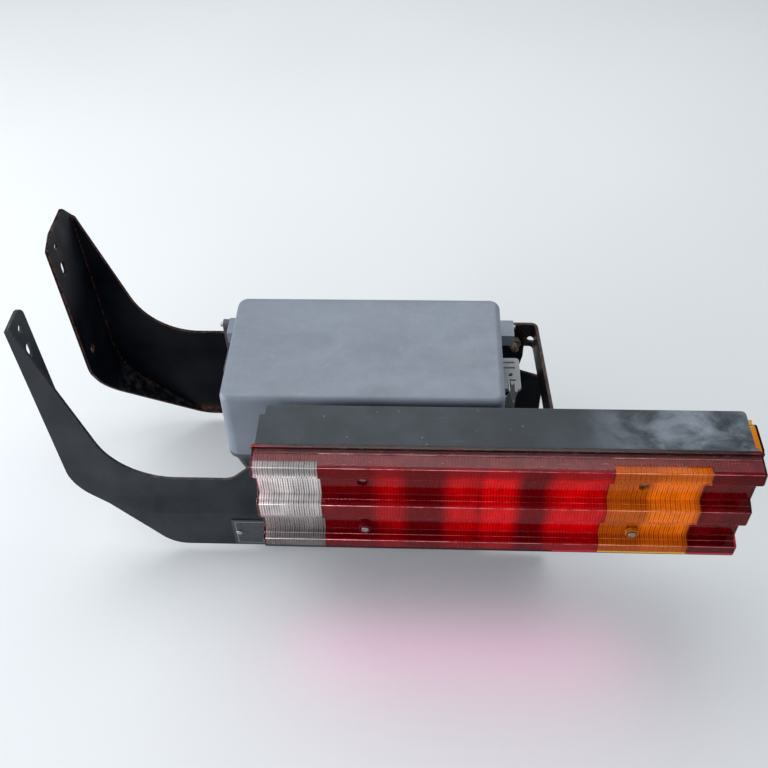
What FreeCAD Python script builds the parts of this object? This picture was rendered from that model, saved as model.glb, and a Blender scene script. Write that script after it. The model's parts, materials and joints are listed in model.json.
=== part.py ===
import FreeCAD, Part
import math
import os

from FreeCAD import Placement, Rotation, Vector

# Rear right combination lamp of a light truck on its two-plate steel bracket, with a
# junction box between the plates. All lengths are in millimetres.
#
# The model is drawn in a working frame and every sub-part's Placement then moves it so
# that the origin is the bottom centre of the whole assembly:
#   X runs along the lamp, away from the chassis rail,
#   Y runs forward into the vehicle, so the lens faces -Y,
#   Z is up from the surface under the junction box.

# ---------------------------------------------------------------- driving dimensions

SIZES = [
    ("centre_x", 137.5, "working X of the assembly's centre"),
    ("centre_y", 84.0, "working Y of the assembly's centre"),
    ("sheet_steel", 4.0, "thickness of the pressed plates"),
    ("rail_face_x", -275.0, "outer face of the flanges that bolt to the chassis rail"),
    ("plate_bottom", 12.0, "lower edge of both plates"),
    ("front_plate_y", 0.0, "front face of the front plate's lower band"),
    ("front_joggle", 10.0, "step back of the front plate's upper band"),
    ("front_band_top", 83.0, "top of the front plate's lower band"),
    ("front_slope_top", 105.0, "top of the front plate's slope"),
    ("front_arm_top", 402.0, "top of the front arm"),
    ("front_arm_shelf", 143.0, "top edge of the front plate beside the lamp"),
    ("front_plate_top", 268.0, "top edge of the front plate behind the lamp"),
    ("front_plate_end", 346.0, "free end of the front plate"),
    ("front_flange_width", 46.0, "depth of the front rail flange"),
    ("rear_plate_y", 233.0, "front face of the rear plate's lower band"),
    ("rear_joggle", 12.0, "step back of the rear plate's upper band"),
    ("rear_band_top", 95.0, "top of the rear plate's lower band"),
    ("rear_slope_top", 142.0, "top of the rear plate's slope"),
    ("rear_arm_top", 403.0, "top of the rear rail flange"),
    ("rear_arm_shelf", 176.0, "top edge of the rear plate beside the box"),
    ("rear_plate_top", 196.0, "top edge of the rear plate behind the box"),
    ("rear_plate_end", 351.0, "free end of the rear plate"),
    ("rear_flange_y", 156.0, "free edge of the rear rail flange"),
    ("rail_hole_radius", 5.5, "rail bolt holes, M10 clearance"),
    ("rail_hole_top", 382.0, "height of the top rail holes"),
    ("rail_slot_height", 348.0, "height of the rail slots"),
    ("rail_hole_low", 206.0, "height of the low rail holes"),
    ("front_hole_y", 37.0, "rail hole line in the front flange"),
    ("rear_hole_y", 181.0, "rail hole line in the rear flange"),
    ("lens_left", -9.0, "end of the lens nearest the rail"),
    ("lens_length", 552.0, "overall length of the lens"),
    ("lens_top", 304.0, "top edge of the lens flange"),
    ("lens_height", 160.0, "overall height of the lens"),
    ("lens_face_y", -64.0, "front face of the lens flange"),
    ("lens_flange", 4.0, "thickness of the lens flange"),
    ("lens_wall", 3.0, "wall of the lens moulding"),
    ("ridge_out", 26.0, "how far the three ridges stand out of the flange"),
    ("valley_out", 12.0, "how far the valleys stand out of the flange"),
    ("clear_length", 74.0, "length of the clear reversing segment"),
    ("red_length", 319.0, "length of the red tail and brake segment"),
    ("amber_length", 103.0, "length of the amber indicator segment"),
    ("gasket_thick", 2.0, "lens gasket"),
    ("housing_wall", 4.0, "wall of the lamp housing"),
    ("housing_inset", 3.0, "how far the housing lies inside the lens flange"),
    ("housing_end_inset", 6.0, "how far the housing's free end lies inside the lens flange"),
    ("lens_screw_in", 121.0, "lens screws from each end of the lens"),
    ("lens_screw_high", 46.0, "upper lens screws below the lens top"),
    ("lens_screw_low", 130.0, "lower lens screws below the lens top"),
    ("panel_y", -24.0, "front face of the reflector panel"),
    ("bulb_height", 228.0, "height of the bulb axes"),
    ("lamp_bolt_left", 85.0, "left lamp bolts"),
    ("lamp_bolt_right", 305.0, "right lamp bolts"),
    ("lamp_bolt_low", 188.0, "lower lamp bolts"),
    ("lamp_bolt_high", 248.0, "upper lamp bolts"),
    ("lamp_bolt_radius", 4.0, "M8 lamp bolts"),
    ("box_left", -66.0, "left side of the junction box rim"),
    ("box_right", 277.0, "right side of the junction box rim"),
    ("box_front", 22.5, "front side of the junction box rim"),
    ("box_rear", 206.0, "rear side of the junction box rim"),
    ("box_rim_top", 180.0, "parting plane of the junction box"),
    ("box_top", 283.0, "top of the lid"),
    ("box_corner", 16.0, "corner radius of the junction box"),
    ("box_wall", 3.0, "wall of the junction box"),
    ("lid_gap", 0.4, "gap between the lid and the base rim"),
    ("lid_draft", 2.5, "how far the lid's top lies inside its rim"),
    ("tub_inset_x", 47.0, "how far the tub's floor lies inside the rim, sideways"),
    ("tub_inset_y", 26.0, "how far the tub's floor lies inside the rim, front and rear"),
    ("hinge_y", 214.0, "lid hinge axis"),
    ("hinge_z", 222.0, "lid hinge axis"),
    ("hinge_pin_radius", 3.0, "lid hinge pin"),
    ("pin_clearance", 0.05, "radial clearance of the hinge pins"),
    ("latch_x", 292.0, "latch lever axis"),
    ("latch_z", 166.0, "latch lever axis"),
    ("latch_y", 122.0, "middle of the latch"),
    ("latch_pin_radius", 2.0, "latch pin"),
]

LIMIT = 900.0

doc = FreeCAD.newDocument("TruckRearLamp")
sheet = doc.addObject("Spreadsheet::Sheet", "Sizes")
for row, (alias, value, meaning) in enumerate(SIZES, start=1):
    sheet.set(f"A{row}", meaning)
    sheet.set(f"B{row}", str(value))
    sheet.setAlias(f"B{row}", alias)
doc.recompute()

NODES = []


def size(alias):
    """Value of one cell of the sheet."""
    return float(sheet.get(alias))


# ------------------------------------------------------------------- outline helpers


def rounded(points):
    """Closed outline of lines and corner arcs from (u, v) or (u, v, radius) points."""
    corners = []
    count = len(points)
    for index, point in enumerate(points):
        here = Vector(point[0], point[1], 0)
        radius = point[2] if len(point) > 2 else 0
        before = Vector(*points[index - 1][:2], 0)
        after = Vector(*points[(index + 1) % count][:2], 0)
        to_before = (before - here).normalize()
        to_after = (after - here).normalize()
        if radius == 0:
            corners.append((here, None, here))
            continue
        half = to_before.getAngle(to_after) / 2
        reach = radius / math.tan(half)
        bisector = (to_before + to_after).normalize()
        centre = here + bisector * (radius / math.sin(half))
        middle = centre - bisector * radius
        corners.append((here + to_before * reach, middle, here + to_after * reach))
    curves = []
    for index, (start, middle, end) in enumerate(corners):
        if middle is not None:
            curves.append(Part.Arc(start, middle, end))
        following = corners[(index + 1) % count][0]
        if (following - end).Length > 1e-6:
            curves.append(Part.LineSegment(end, following))
    return curves


def offset_path(points, distance):
    """Open path moved sideways by distance, to the left of its direction."""
    lines = []
    for first, second in zip(points, points[1:]):
        start = Vector(first[0], first[1], 0)
        along = (Vector(second[0], second[1], 0) - start).normalize()
        lines.append((start + Vector(-along.y, along.x, 0) * distance, along))
    moved = [lines[0][0]]
    for (start, along), (other, turn) in zip(lines, lines[1:]):
        cross = along.x * turn.y - along.y * turn.x
        gap = other - start
        reach = (gap.x * turn.y - gap.y * turn.x) / cross
        moved.append(start + along * reach)
    last = Vector(points[-1][0], points[-1][1], 0)
    start, along = lines[-1]
    moved.append(start + along * (last - start).dot(along))
    return [(point.x, point.y, *source[2:]) for point, source in zip(moved, points)]


def rectangle(left, right, low, high, radius=0):
    """Rectangle outline with equal corner radii."""
    return [
        (left, low, radius),
        (right, low, radius),
        (right, high, radius),
        (left, high, radius),
    ]


# ------------------------------------------------------------------ document helpers


def settle(feature):
    """Move a finished sub-part from the working frame to the assembly's origin."""
    feature.setExpression("Placement.Base.x", "-Sizes.centre_x")
    feature.setExpression("Placement.Base.y", "-Sizes.centre_y")


def start_body(label):
    """New PartDesign body for one sub-part."""
    body = doc.addObject("PartDesign::Body", label)
    body.Label = label
    settle(body)
    NODES.append(body)
    return body


def add_sketch(body, plane, level, *outlines):
    """Sketch on an origin plane, moved along that plane's axis to a level."""
    origin_plane = next(f for f in body.Origin.OriginFeatures if f.Role == plane + "_Plane")
    sketch = body.newObject("Sketcher::SketchObject", body.Label + "_sketch")
    sketch.AttachmentSupport = [(origin_plane, "")]
    sketch.MapMode = "FlatFace"
    sign = "-1" if plane == "XZ" else "1"
    sketch.setExpression("AttachmentOffset.Base.z", f"{sign} * ({level})")
    for outline in outlines:
        curves = rounded(outline) if isinstance(outline[0], tuple) else outline
        sketch.addGeometry(curves, False)
    return sketch


def ring(u, v, radius):
    """Circle outline for a sketch."""
    return [Part.Circle(Vector(u, v, 0), Vector(0, 0, 1), radius)]


def pad(body, plane, level, length, *outlines):
    """Pad towards the positive axis of the plane's normal direction."""
    sketch = add_sketch(body, plane, level, *outlines)
    feature = body.newObject("PartDesign::Pad", body.Label + "_pad")
    feature.Profile = sketch
    feature.Reversed = plane == "XZ"
    feature.setExpression("Length", length)
    return feature


def pocket(body, plane, level, length, *outlines):
    """Pocket towards the positive axis of the plane's normal direction."""
    sketch = add_sketch(body, plane, level, *outlines)
    feature = body.newObject("PartDesign::Pocket", body.Label + "_pocket")
    feature.Profile = sketch
    feature.Reversed = plane != "XZ"
    feature.setExpression("Length", length)
    return feature


def cut_through(body, plane, *outlines):
    """Pocket that passes right through the body, both ways."""
    feature = pocket(body, plane, "0", f"{2 * LIMIT}", *outlines)
    feature.Midplane = True
    return feature


def loft(body, kind, plane, sections, ruled=True):
    """Additive or subtractive loft between (level, outline) sections."""
    sketches = [add_sketch(body, plane, level, outline) for level, outline in sections]
    feature = body.newObject(f"PartDesign::{kind}Loft", body.Label + "_loft")
    feature.Profile = sketches[0]
    feature.Sections = sketches[1:]
    feature.Ruled = ruled
    return feature


def fillet_edges(body, radius, wanted):
    """Fillet the edges of the body's tip that the test accepts."""
    doc.recompute()
    base = body.Tip
    names = [f"Edge{n}" for n, edge in enumerate(base.Shape.Edges, start=1) if wanted(edge)]
    feature = body.newObject("PartDesign::Fillet", body.Label + "_fillet")
    feature.Base = (base, names)
    feature.setExpression("Radius", radius)
    return feature


TURN = {
    "X": Rotation(Vector(0, 1, 0), 90),
    "Y": Rotation(Vector(1, 0, 0), -90),
    "Z": Rotation(),
}


def cylinder(axis, base, radius, length):
    """Part cylinder that grows along an axis from its base point."""
    solid = doc.addObject("Part::Cylinder", "Round")
    solid.setExpression("Radius", radius)
    solid.setExpression("Height", length)
    solid.Placement = Placement(Vector(*base), TURN[axis])
    return solid


def hexagon(axis, base, across, length):
    """Hexagonal prism with a given size across its flats."""
    solid = doc.addObject("Part::Prism", "Hex")
    solid.Polygon = 6
    solid.setExpression("Circumradius", f"({across}) / sqrt(3)")
    solid.setExpression("Height", length)
    solid.Placement = Placement(Vector(*base), TURN[axis])
    return solid


def block(base, length, width, height):
    """Part box from its lowest corner."""
    solid = doc.addObject("Part::Box", "Block")
    solid.setExpression("Length", length)
    solid.setExpression("Width", width)
    solid.setExpression("Height", height)
    solid.Placement = Placement(Vector(*base), Rotation())
    return solid


def fuse(*solids):
    """One solid from several that overlap."""
    joined = doc.addObject("Part::MultiFuse", "Joined")
    joined.Shapes = list(solids)
    return joined


def cut(solid, tool):
    """One solid less another."""
    rest = doc.addObject("Part::Cut", "Rest")
    rest.Base = solid
    rest.Tool = tool
    return rest


def group(label, solids):
    """Node made of one or more separate solids."""
    compound = doc.addObject("Part::Compound", label)
    compound.Label = label
    compound.Links = list(solids)
    settle(compound)
    NODES.append(compound)
    return compound


# ------------------------------------------------------------------- bracket plates


def joggled_strip(front, step, band_top, slope_top, top):
    """Section of a pressed plate: lower band, slope and upper band set back by step."""
    steel = size("sheet_steel")
    bottom = size("plate_bottom")
    face = [(front, bottom), (front, band_top), (front + step, slope_top), (front + step, top)]
    back = [(y + steel, z) for y, z in reversed(face)]
    return face + back


def trim_to(body, outline):
    """Remove everything outside an outline seen along Y."""
    frame = rectangle(-LIMIT, LIMIT, -LIMIT, LIMIT)
    return cut_through(body, "XZ", frame, outline)


ARM_HEEL = 127.0
ARM_HEEL_RADIUS = 70.0
ARM_TOE_X = -156.0
ARM_TOE_RADIUS = 40.0
ARM_LEG_FOOT_X = -207.0
ARM_LEG_TOP = 7.0
RAMP = 22.0


def arm_outline(top, shelf, plate_top, end, ramp_x):
    """Outline of a plate with the arm that rises to the chassis rail."""
    rail = size("rail_face_x")
    bottom = size("plate_bottom")
    rise = plate_top - shelf
    return [
        (rail, top),
        (rail, ARM_HEEL, ARM_HEEL_RADIUS),
        (ARM_TOE_X, bottom, ARM_TOE_RADIUS),
        (end, bottom, 10),
        (end, plate_top, 10),
        (ramp_x + rise, plate_top, RAMP),
        (ramp_x, shelf, RAMP),
        (ARM_LEG_FOOT_X, shelf, 88),
        (rail + ARM_LEG_TOP, top, 6),
    ]


def rail_holes(body, line_y):
    """Two round rail holes and the slot between them."""
    radius = size("rail_hole_radius")
    slot_low = size("rail_slot_height") - 5
    slot_high = size("rail_slot_height") + 5
    slot = rectangle(line_y - radius, line_y + radius, slot_low - radius, slot_high + radius, radius - 0.01)
    holes = [ring(line_y, size("rail_hole_top"), radius), ring(line_y, size("rail_hole_low"), radius)]
    level = "Sizes.rail_face_x - 1"
    return pocket(body, "YZ", level, "Sizes.sheet_steel + 2", slot, *holes)


def front_bracket_plate():
    body = start_body("front_bracket_plate")
    front = size("front_plate_y")
    step = size("front_joggle")
    top = size("front_arm_top")
    low = size("front_band_top")
    high = size("front_slope_top")
    pressed = joggled_strip(front, step, low, high, top)
    flat = joggled_strip(front + step, 0, low, high, top)
    fade_start = "Sizes.rail_face_x + 104"
    fade_end = "Sizes.rail_face_x + 40"
    pad(body, "YZ", fade_start, "Sizes.front_plate_end - Sizes.rail_face_x - 104", pressed)
    loft(body, "Additive", "YZ", [(fade_start, pressed), (fade_end, flat)])
    upper = [(front + step, size("plate_bottom")), (front + step, top)]
    upper += [(y + size("sheet_steel"), z) for y, z in reversed(upper)]
    pad(body, "YZ", "Sizes.rail_face_x", "40 mm", upper)
    outline = arm_outline(top, size("front_arm_shelf"), size("front_plate_top"), size("front_plate_end"), -65)
    trim_to(body, outline)
    flange = [
        (front + step, ARM_HEEL + 30),
        (front + step + size("front_flange_width"), ARM_HEEL + 50, 20),
        (front + step + size("front_flange_width"), top, 16),
        (front + step, top),
    ]
    pad(body, "YZ", "Sizes.rail_face_x", "Sizes.sheet_steel", flange)
    rail_holes(body, size("front_hole_y"))
    bolts = [ring(x, z, size("lamp_bolt_radius") + 0.5) for x, z in lamp_bolt_places()]
    cut_through(body, "XZ", *bolts, ring(END_BOLT_FRONT_X, END_BOLT_Z, END_BOLT_RADIUS + 0.3))
    return body


def rear_bracket_plate():
    body = start_body("rear_bracket_plate")
    rail = size("rail_face_x")
    front = size("rear_plate_y")
    step = size("rear_joggle")
    steel = size("sheet_steel")
    low = size("rear_band_top")
    high = size("rear_slope_top")
    web_top = size("rear_arm_top") - 24
    section = joggled_strip(front, step, low, high, web_top)
    pad(body, "YZ", "Sizes.rail_face_x", "Sizes.rear_plate_end - Sizes.rail_face_x", section)
    outline = arm_outline(web_top, size("rear_arm_shelf"), size("rear_plate_top"), size("rear_plate_end"), -60)
    trim_to(body, outline)
    end = size("rear_plate_end")
    corner = size("rear_plate_top")
    notch = [
        (END_BOLT_REAR_X + 14, corner + 30),
        (END_BOLT_REAR_X + 14, 138, 8),
        (END_BOLT_REAR_X + 9, 118, 8),
        (END_BOLT_REAR_X + 11, 112, 5),
        (end + 30, 92),
        (end + 30, corner + 30),
    ]
    cut_through(body, "XZ", notch)
    shoulder = [(END_BOLT_REAR_X + 14, corner - 16), (END_BOLT_REAR_X + 30, corner - 16)]
    shoulder += [(END_BOLT_REAR_X + 30, corner + 9), (END_BOLT_REAR_X - 4, corner + 9)]
    cut_through(body, "XZ", shoulder)
    # The rail flange turns round the heel and runs out along the lower edge.
    outer = [
        (rail, size("rear_arm_top")),
        (rail, ARM_HEEL, ARM_HEEL_RADIUS),
        (ARM_TOE_X, size("plate_bottom"), ARM_TOE_RADIUS),
        (ARM_TOE_X + 60, size("plate_bottom")),
    ]
    inner = offset_path(outer, steel)
    inner = [(u, v, radius[0] - steel) if radius else (u, v) for u, v, *radius in inner]
    wrap = outer + inner[::-1]
    depth = "Sizes.rear_plate_y + Sizes.rear_joggle + Sizes.sheet_steel - Sizes.rear_flange_y"
    pad(body, "XZ", "Sizes.rear_flange_y", depth, wrap)
    web_back = front + step + steel
    keep = [
        (size("rear_flange_y"), size("rear_arm_top") - 10, 4),
        (size("rear_flange_y"), 184, 50),
        (front + 3, size("plate_bottom")),
        (front + 3, -20),
        (LIMIT / 2, -20),
        (LIMIT / 2, web_top),
        (web_back, web_top),
        (web_back - 20, size("rear_arm_top"), 6),
        (size("rear_flange_y") + 22, size("rear_arm_top"), 6),
    ]
    cut_through(body, "YZ", rectangle(-LIMIT, LIMIT, -LIMIT, LIMIT), keep)
    behind = [(LIMIT / 3, -30), (LIMIT / 3, high + LIMIT / 3), (web_back, high + LIMIT / 3), (web_back, high)]
    behind += [(front + steel, low), (front + steel, -30)]
    cut_through(body, "YZ", behind)
    rail_holes(body, size("rear_hole_y"))
    cut_through(body, "XZ", ring(END_BOLT_REAR_X, END_BOLT_Z, END_BOLT_RADIUS + 0.3))
    return body


def box_bolt_rings():
    return [ring(y, BOX_BOLT_Z, BOX_BOLT_RADIUS + 0.2) for y in BOX_BOLT_Y]


def cross_tubes():
    """Two square tubes that tie the plates together under the junction box."""
    length = "Sizes.rear_plate_y - Sizes.front_plate_y - Sizes.sheet_steel"
    for label, left in (("cross_tube_left", TUBE_LEFT_X), ("cross_tube_right", TUBE_RIGHT_X)):
        body = start_body(label)
        outer = rectangle(left, left + TUBE_WIDTH, TUBE_LOW, TUBE_LOW + TUBE_HEIGHT, 3)
        inner = rectangle(left + 2, left + TUBE_WIDTH - 2, TUBE_LOW + 2, TUBE_LOW + TUBE_HEIGHT - 2, 1)
        pad(body, "XZ", "Sizes.front_plate_y + Sizes.sheet_steel", length, outer, inner)
        cut_through(body, "YZ", *box_bolt_rings())


TUBE_LEFT_X = -60.0
TUBE_RIGHT_X = 254.0
TUBE_WIDTH = 18.0
TUBE_LOW = 56.0
TUBE_HEIGHT = 24.0

END_BOLT_Z = 166.0
END_BOLT_RADIUS = 5.0
END_BOLT_FRONT_X = 328.0
END_BOLT_REAR_X = 305.0
STRAP_LOW = 152.0
STRAP_HIGH = 194.0
STRAP_BEND = 10.0
STRAP_REAR_X = 335.0


def strap_faces():
    """Y of the strap's outer faces behind the rear plate and behind the front plate."""
    steel = size("sheet_steel")
    rear = size("rear_plate_y") + size("rear_joggle") + 2 * steel
    front = size("front_plate_y") + size("front_joggle") + steel
    return rear, front


def end_strap():
    """Bent strap that ties the free ends of the plates, slightly askew in plan."""
    body = start_body("end_strap")
    steel = size("sheet_steel")
    rear, front = strap_faces()
    outer = [
        (END_BOLT_REAR_X - 17, rear),
        (STRAP_REAR_X, rear, STRAP_BEND),
        (size("front_plate_end") + 3, front, STRAP_BEND),
        (END_BOLT_FRONT_X - 13, front),
    ]
    inner = offset_path(outer, -steel)
    inner = [(u, v, STRAP_BEND - steel) if radius else (u, v) for u, v, *radius in inner]
    pad(body, "XY", f"{STRAP_LOW}", f"{STRAP_HIGH - STRAP_LOW}", outer + inner[::-1])
    for x in (END_BOLT_REAR_X, END_BOLT_FRONT_X):
        cut_through(body, "XZ", ring(x, END_BOLT_Z, END_BOLT_RADIUS + 0.3))
    return body


def end_strap_fasteners():
    """Hexagon bolts and nuts through the two ends of the strap."""
    steel = size("sheet_steel")
    rear, front = strap_faces()
    bolts = []
    nuts = []
    for x, head_y, nut_y, shank_y, reach in (
        (END_BOLT_REAR_X, rear, rear - 2 * steel - 8, rear - 2 * steel - 18, 2 * steel + 19),
        (END_BOLT_FRONT_X, front - steel - 5, front + steel, front - steel - 1, 2 * steel + 12),
    ):
        shank = cylinder("Y", (x, shank_y, END_BOLT_Z), f"{END_BOLT_RADIUS}", f"{reach}")
        head = hexagon("Y", (x, head_y, END_BOLT_Z), "16", "5")
        bolts.append(fuse(shank, head))
        nut = hexagon("Y", (x, nut_y, END_BOLT_Z), "16", "8")
        bore = cylinder("Y", (x, nut_y - 1, END_BOLT_Z), f"{END_BOLT_RADIUS}", "10")
        nuts.append(cut(nut, bore))
    group("end_strap_bolts", bolts)
    group("end_strap_nuts", nuts)


LABEL_LEFT = -74.0
LABEL_LENGTH = 160.0
LABEL_LOW = 15.0
LABEL_HEIGHT = 56.0


def blank_plate():
    """Blank identification plate riveted to the front plate's lower band."""
    body = start_body("blank_plate")
    outline = rectangle(LABEL_LEFT, LABEL_LEFT + LABEL_LENGTH, LABEL_LOW, LABEL_LOW + LABEL_HEIGHT, 3)
    holes = [ring(x, z, 2.2) for x, z in rivet_places()]
    pad(body, "XZ", "Sizes.front_plate_y - 1.5", "1.5", outline, *holes)
    rivets = []
    for x, z in rivet_places():
        front = size("front_plate_y")
        head = cylinder("Y", (x, front - 3, z), "4", "1.5")
        shank = cylinder("Y", (x, front - 2, z), "2", "2")
        rivets.append(fuse(head, shank))
    group("blank_plate_rivets", rivets)


def rivet_places():
    middle = LABEL_LOW + LABEL_HEIGHT / 2
    return [(LABEL_LEFT + 8, middle), (LABEL_LEFT + LABEL_LENGTH - 8, middle)]


# --------------------------------------------------------------------------- lamp


def lens_path():
    """Outer face of the lens in section, from its top edge down, as (y, z, radius)."""
    face = size("lens_face_y")
    top = size("lens_top")
    out = size("ridge_out")
    valley = size("valley_out")
    depths = [
        (0, 3.5),
        (out - 2, 5.5, 2),
        (out, 22, 3),
        (valley, 34, 8),
        (valley, 66, 2),
        (out, 71, 1.6),
        (out, 95.5, 3),
        (valley, 108, 8),
        (valley, 135, 2),
        (out, 139.5, 1.6),
        (out, 156.5, 2),
        (out - 4, 158.5, 1.5),
        (0, 158.5),
    ]
    return [(face - point[0], top - point[1], *point[2:]) for point in depths]


def lens_band():
    """Closed section of the lens wall with its flange."""
    face = size("lens_face_y")
    back = face + size("lens_flange")
    top = size("lens_top")
    bottom = top - size("lens_height")
    wall = size("lens_wall")
    outer = lens_path()
    inner = offset_path(outer, wall)
    inner[0] = (back, inner[1][1] + 0.1)
    inner[-1] = (back, bottom + 3 + wall)
    return [(back, top), (face, top)] + outer + [(face, bottom), (back, bottom)] + inner[::-1]


def lens_plug():
    """Closed section of a solid end wall."""
    face = size("lens_face_y")
    back = face + size("lens_flange")
    top = size("lens_top")
    bottom = top - size("lens_height")
    return [(back, top), (face, top)] + lens_path() + [(face, bottom), (back, bottom)]


SCREW_SEAT_HIGH = 3.5
SCREW_SEAT_LOW = 14.0
SCREW_FLOOR = 2.5
SCREW_WELL = 6.0
SCREW_WELL_WALL = 1.5
SCREW_HEAD = 4.0
SCREW_HEAD_RADIUS = 4.5
SCREW_SLOT = 1.2
SCREW_RADIUS = 2.5
SCREW_REACH = 18.0
PILLAR_RADIUS = 5.0
PILLAR_SET_BACK = 12.0


def lens_screw_places():
    """Lens screws as (x, z, how far the head's seat stands out of the lens flange)."""
    left = size("lens_left") + size("lens_screw_in")
    right = size("lens_left") + size("lens_length") - size("lens_screw_in")
    high = size("lens_top") - size("lens_screw_high")
    low = size("lens_top") - size("lens_screw_low")
    return [(x, z, seat) for x in (left, right) for z, seat in ((low, SCREW_SEAT_LOW), (high, SCREW_SEAT_HIGH))]


def lens_segment(label, start, length, end_wall=None):
    """One coloured segment of the lens."""
    body = start_body(label)
    pad(body, "YZ", start, length, lens_band())
    if end_wall is not None:
        pad(body, "YZ", end_wall, "Sizes.lens_wall", lens_plug())
    return body


def lens():
    """Four coloured segments of one multi-shot moulding."""
    starts = {
        "lens_clear": ("Sizes.lens_left", "Sizes.clear_length"),
        "lens_red": ("Sizes.lens_left + Sizes.clear_length", "Sizes.red_length"),
        "lens_amber": ("Sizes.lens_left + Sizes.clear_length + Sizes.red_length", "Sizes.amber_length"),
    }
    lens_segment("lens_clear", *starts["lens_clear"], end_wall="Sizes.lens_left")
    red = lens_segment("lens_red", *starts["lens_red"])
    amber = lens_segment("lens_amber", *starts["lens_amber"])
    used = "Sizes.clear_length + Sizes.red_length + Sizes.amber_length"
    last = f"Sizes.lens_length - ({used})"
    end = "Sizes.lens_left + Sizes.lens_length - Sizes.lens_wall"
    lens_segment("lens_fog", f"Sizes.lens_left + {used}", last, end_wall=end)
    middle = size("lens_left") + size("lens_length") / 2
    for body, side in ((red, -1), (amber, 1)):
        for x, z, seat in lens_screw_places():
            if (x - middle) * side > 0:
                screw_well(body, x, z, seat)


def screw_well(body, x, z, seat):
    """Cup moulded into the lens, with the screw head on its floor."""
    front = max(seat + 3, size("valley_out") - 0.5)
    back = seat - SCREW_FLOOR
    clear = LIMIT / 2
    pad(body, "XZ", f"Sizes.lens_face_y - {front}", f"{front - back}", ring(x, z, SCREW_WELL + SCREW_WELL_WALL))
    pocket(body, "XZ", f"Sizes.lens_face_y - {clear}", f"{clear - seat}", ring(x, z, SCREW_WELL))
    cut_through(body, "XZ", ring(x, z, SCREW_RADIUS + 0.2))


def lens_gasket():
    body = start_body("lens_gasket")
    left = size("lens_left") + 1
    right = size("lens_left") + size("lens_length") - 1
    top = size("lens_top") - 1
    low = size("lens_top") - size("lens_height") + 1
    outer = rectangle(left, right, low, top, 4)
    inner = rectangle(left + 7, right - 7, low + 5, top - 5, 2)
    pad(body, "XZ", "Sizes.lens_face_y + Sizes.lens_flange", "Sizes.gasket_thick", outer, inner)


def lens_screws():
    screws = []
    for x, z, seat_out in lens_screw_places():
        seat = size("lens_face_y") - seat_out
        pillar = size("lens_face_y") + PILLAR_SET_BACK
        head = cylinder("Y", (x, seat - SCREW_HEAD, z), f"{SCREW_HEAD_RADIUS}", f"{SCREW_HEAD}")
        shank = cylinder("Y", (x, seat, z), f"{SCREW_RADIUS}", f"{pillar + SCREW_REACH - seat}")
        corner = (x - SCREW_WELL, seat - SCREW_HEAD - 1, z - SCREW_SLOT / 2)
        slot = block(corner, f"{2 * SCREW_WELL}", f"{SCREW_SLOT + 1}", f"{SCREW_SLOT}")
        screws.append(cut(fuse(head, shank), slot))
    group("lens_screws", screws)


def lens_collars():
    """Spacer collars between the back of the lens at each screw and the housing pillars."""
    collars = []
    valley_back = size("valley_out") - size("lens_wall")
    for x, z, seat_out in lens_screw_places():
        front = size("lens_face_y") - min(seat_out - SCREW_FLOOR, valley_back)
        length = size("lens_face_y") + PILLAR_SET_BACK - front
        tube = cylinder("Y", (x, front, z), f"{PILLAR_RADIUS}", f"{length}")
        bore = cylinder("Y", (x, front - 1, z), f"{SCREW_RADIUS}", f"{length + 2}")
        collars.append(cut(tube, bore))
    group("lens_screw_collars", collars)


HOUSING_STEP = 6.0
HOUSING_STEP_DEPTH = 14.0
LIP_DEPTH = 5.0


def housing_right():
    """Free end of the housing, where the side marker sits."""
    return size("lens_left") + size("lens_length") - size("housing_end_inset")


def housing_plan(inset):
    """Plan of the housing: stepped at the rail end, rounded at the free end behind a lip."""
    left = size("lens_left") + size("housing_inset") + inset
    right = housing_right() - inset
    lip = size("lens_left") + size("lens_length") - size("housing_inset")
    front = size("lens_face_y") + size("lens_flange") + size("gasket_thick")
    back = -inset
    plan = [
        (left, back - HOUSING_STEP_DEPTH),
        (left + HOUSING_STEP, back - HOUSING_STEP_DEPTH),
        (left + HOUSING_STEP, back, 3),
        (right, back, 5),
    ]
    if inset:
        return [(left, front - 1)] + plan + [(right, front - 1)]
    return [(left, front)] + plan + [(right, front + LIP_DEPTH), (lip, front + LIP_DEPTH), (lip, front)]


def lamp_housing():
    body = start_body("lamp_housing")
    wall = size("housing_wall")
    low = "Sizes.lens_top - Sizes.lens_height + Sizes.housing_inset"
    tall = "Sizes.lens_height - 2 * Sizes.housing_inset"
    pad(body, "XY", low, tall, housing_plan(0))
    pocket(body, "XY", f"{low} + Sizes.housing_wall", f"{tall} - 2 * Sizes.housing_wall", housing_plan(wall))
    pillars = [ring(x, z, PILLAR_RADIUS) for x, z, _ in lens_screw_places()]
    pillar_front = f"Sizes.lens_face_y + {PILLAR_SET_BACK}"
    pad(body, "XZ", pillar_front, f"-({pillar_front}) - 2", *pillars)
    screws = [ring(x, z, SCREW_RADIUS) for x, z, _ in lens_screw_places()]
    pocket(body, "XZ", "Sizes.lens_face_y", f"{PILLAR_SET_BACK + SCREW_REACH + 4}", *screws)
    bolts = [ring(x, z, size("lamp_bolt_radius") + 0.3) for x, z in lamp_bolt_places()]
    pocket(body, "XZ", "-10", "20", *bolts, ring(CONNECTOR_X, CONNECTOR_Z, 19))
    return body


def partition_places():
    left = size("lens_left")
    first = left + size("clear_length")
    middle = first + size("red_length") / 2
    third = first + size("red_length")
    fourth = third + size("amber_length")
    return [first, middle, third, fourth]


def bulb_places():
    """Bulb axes, one in the middle of each chamber."""
    left = size("lens_left") + size("housing_inset") + size("housing_wall")
    right = housing_right() - size("housing_wall")
    walls = [left] + partition_places() + [right]
    return [(first + second) / 2 for first, second in zip(walls, walls[1:])]


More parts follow.
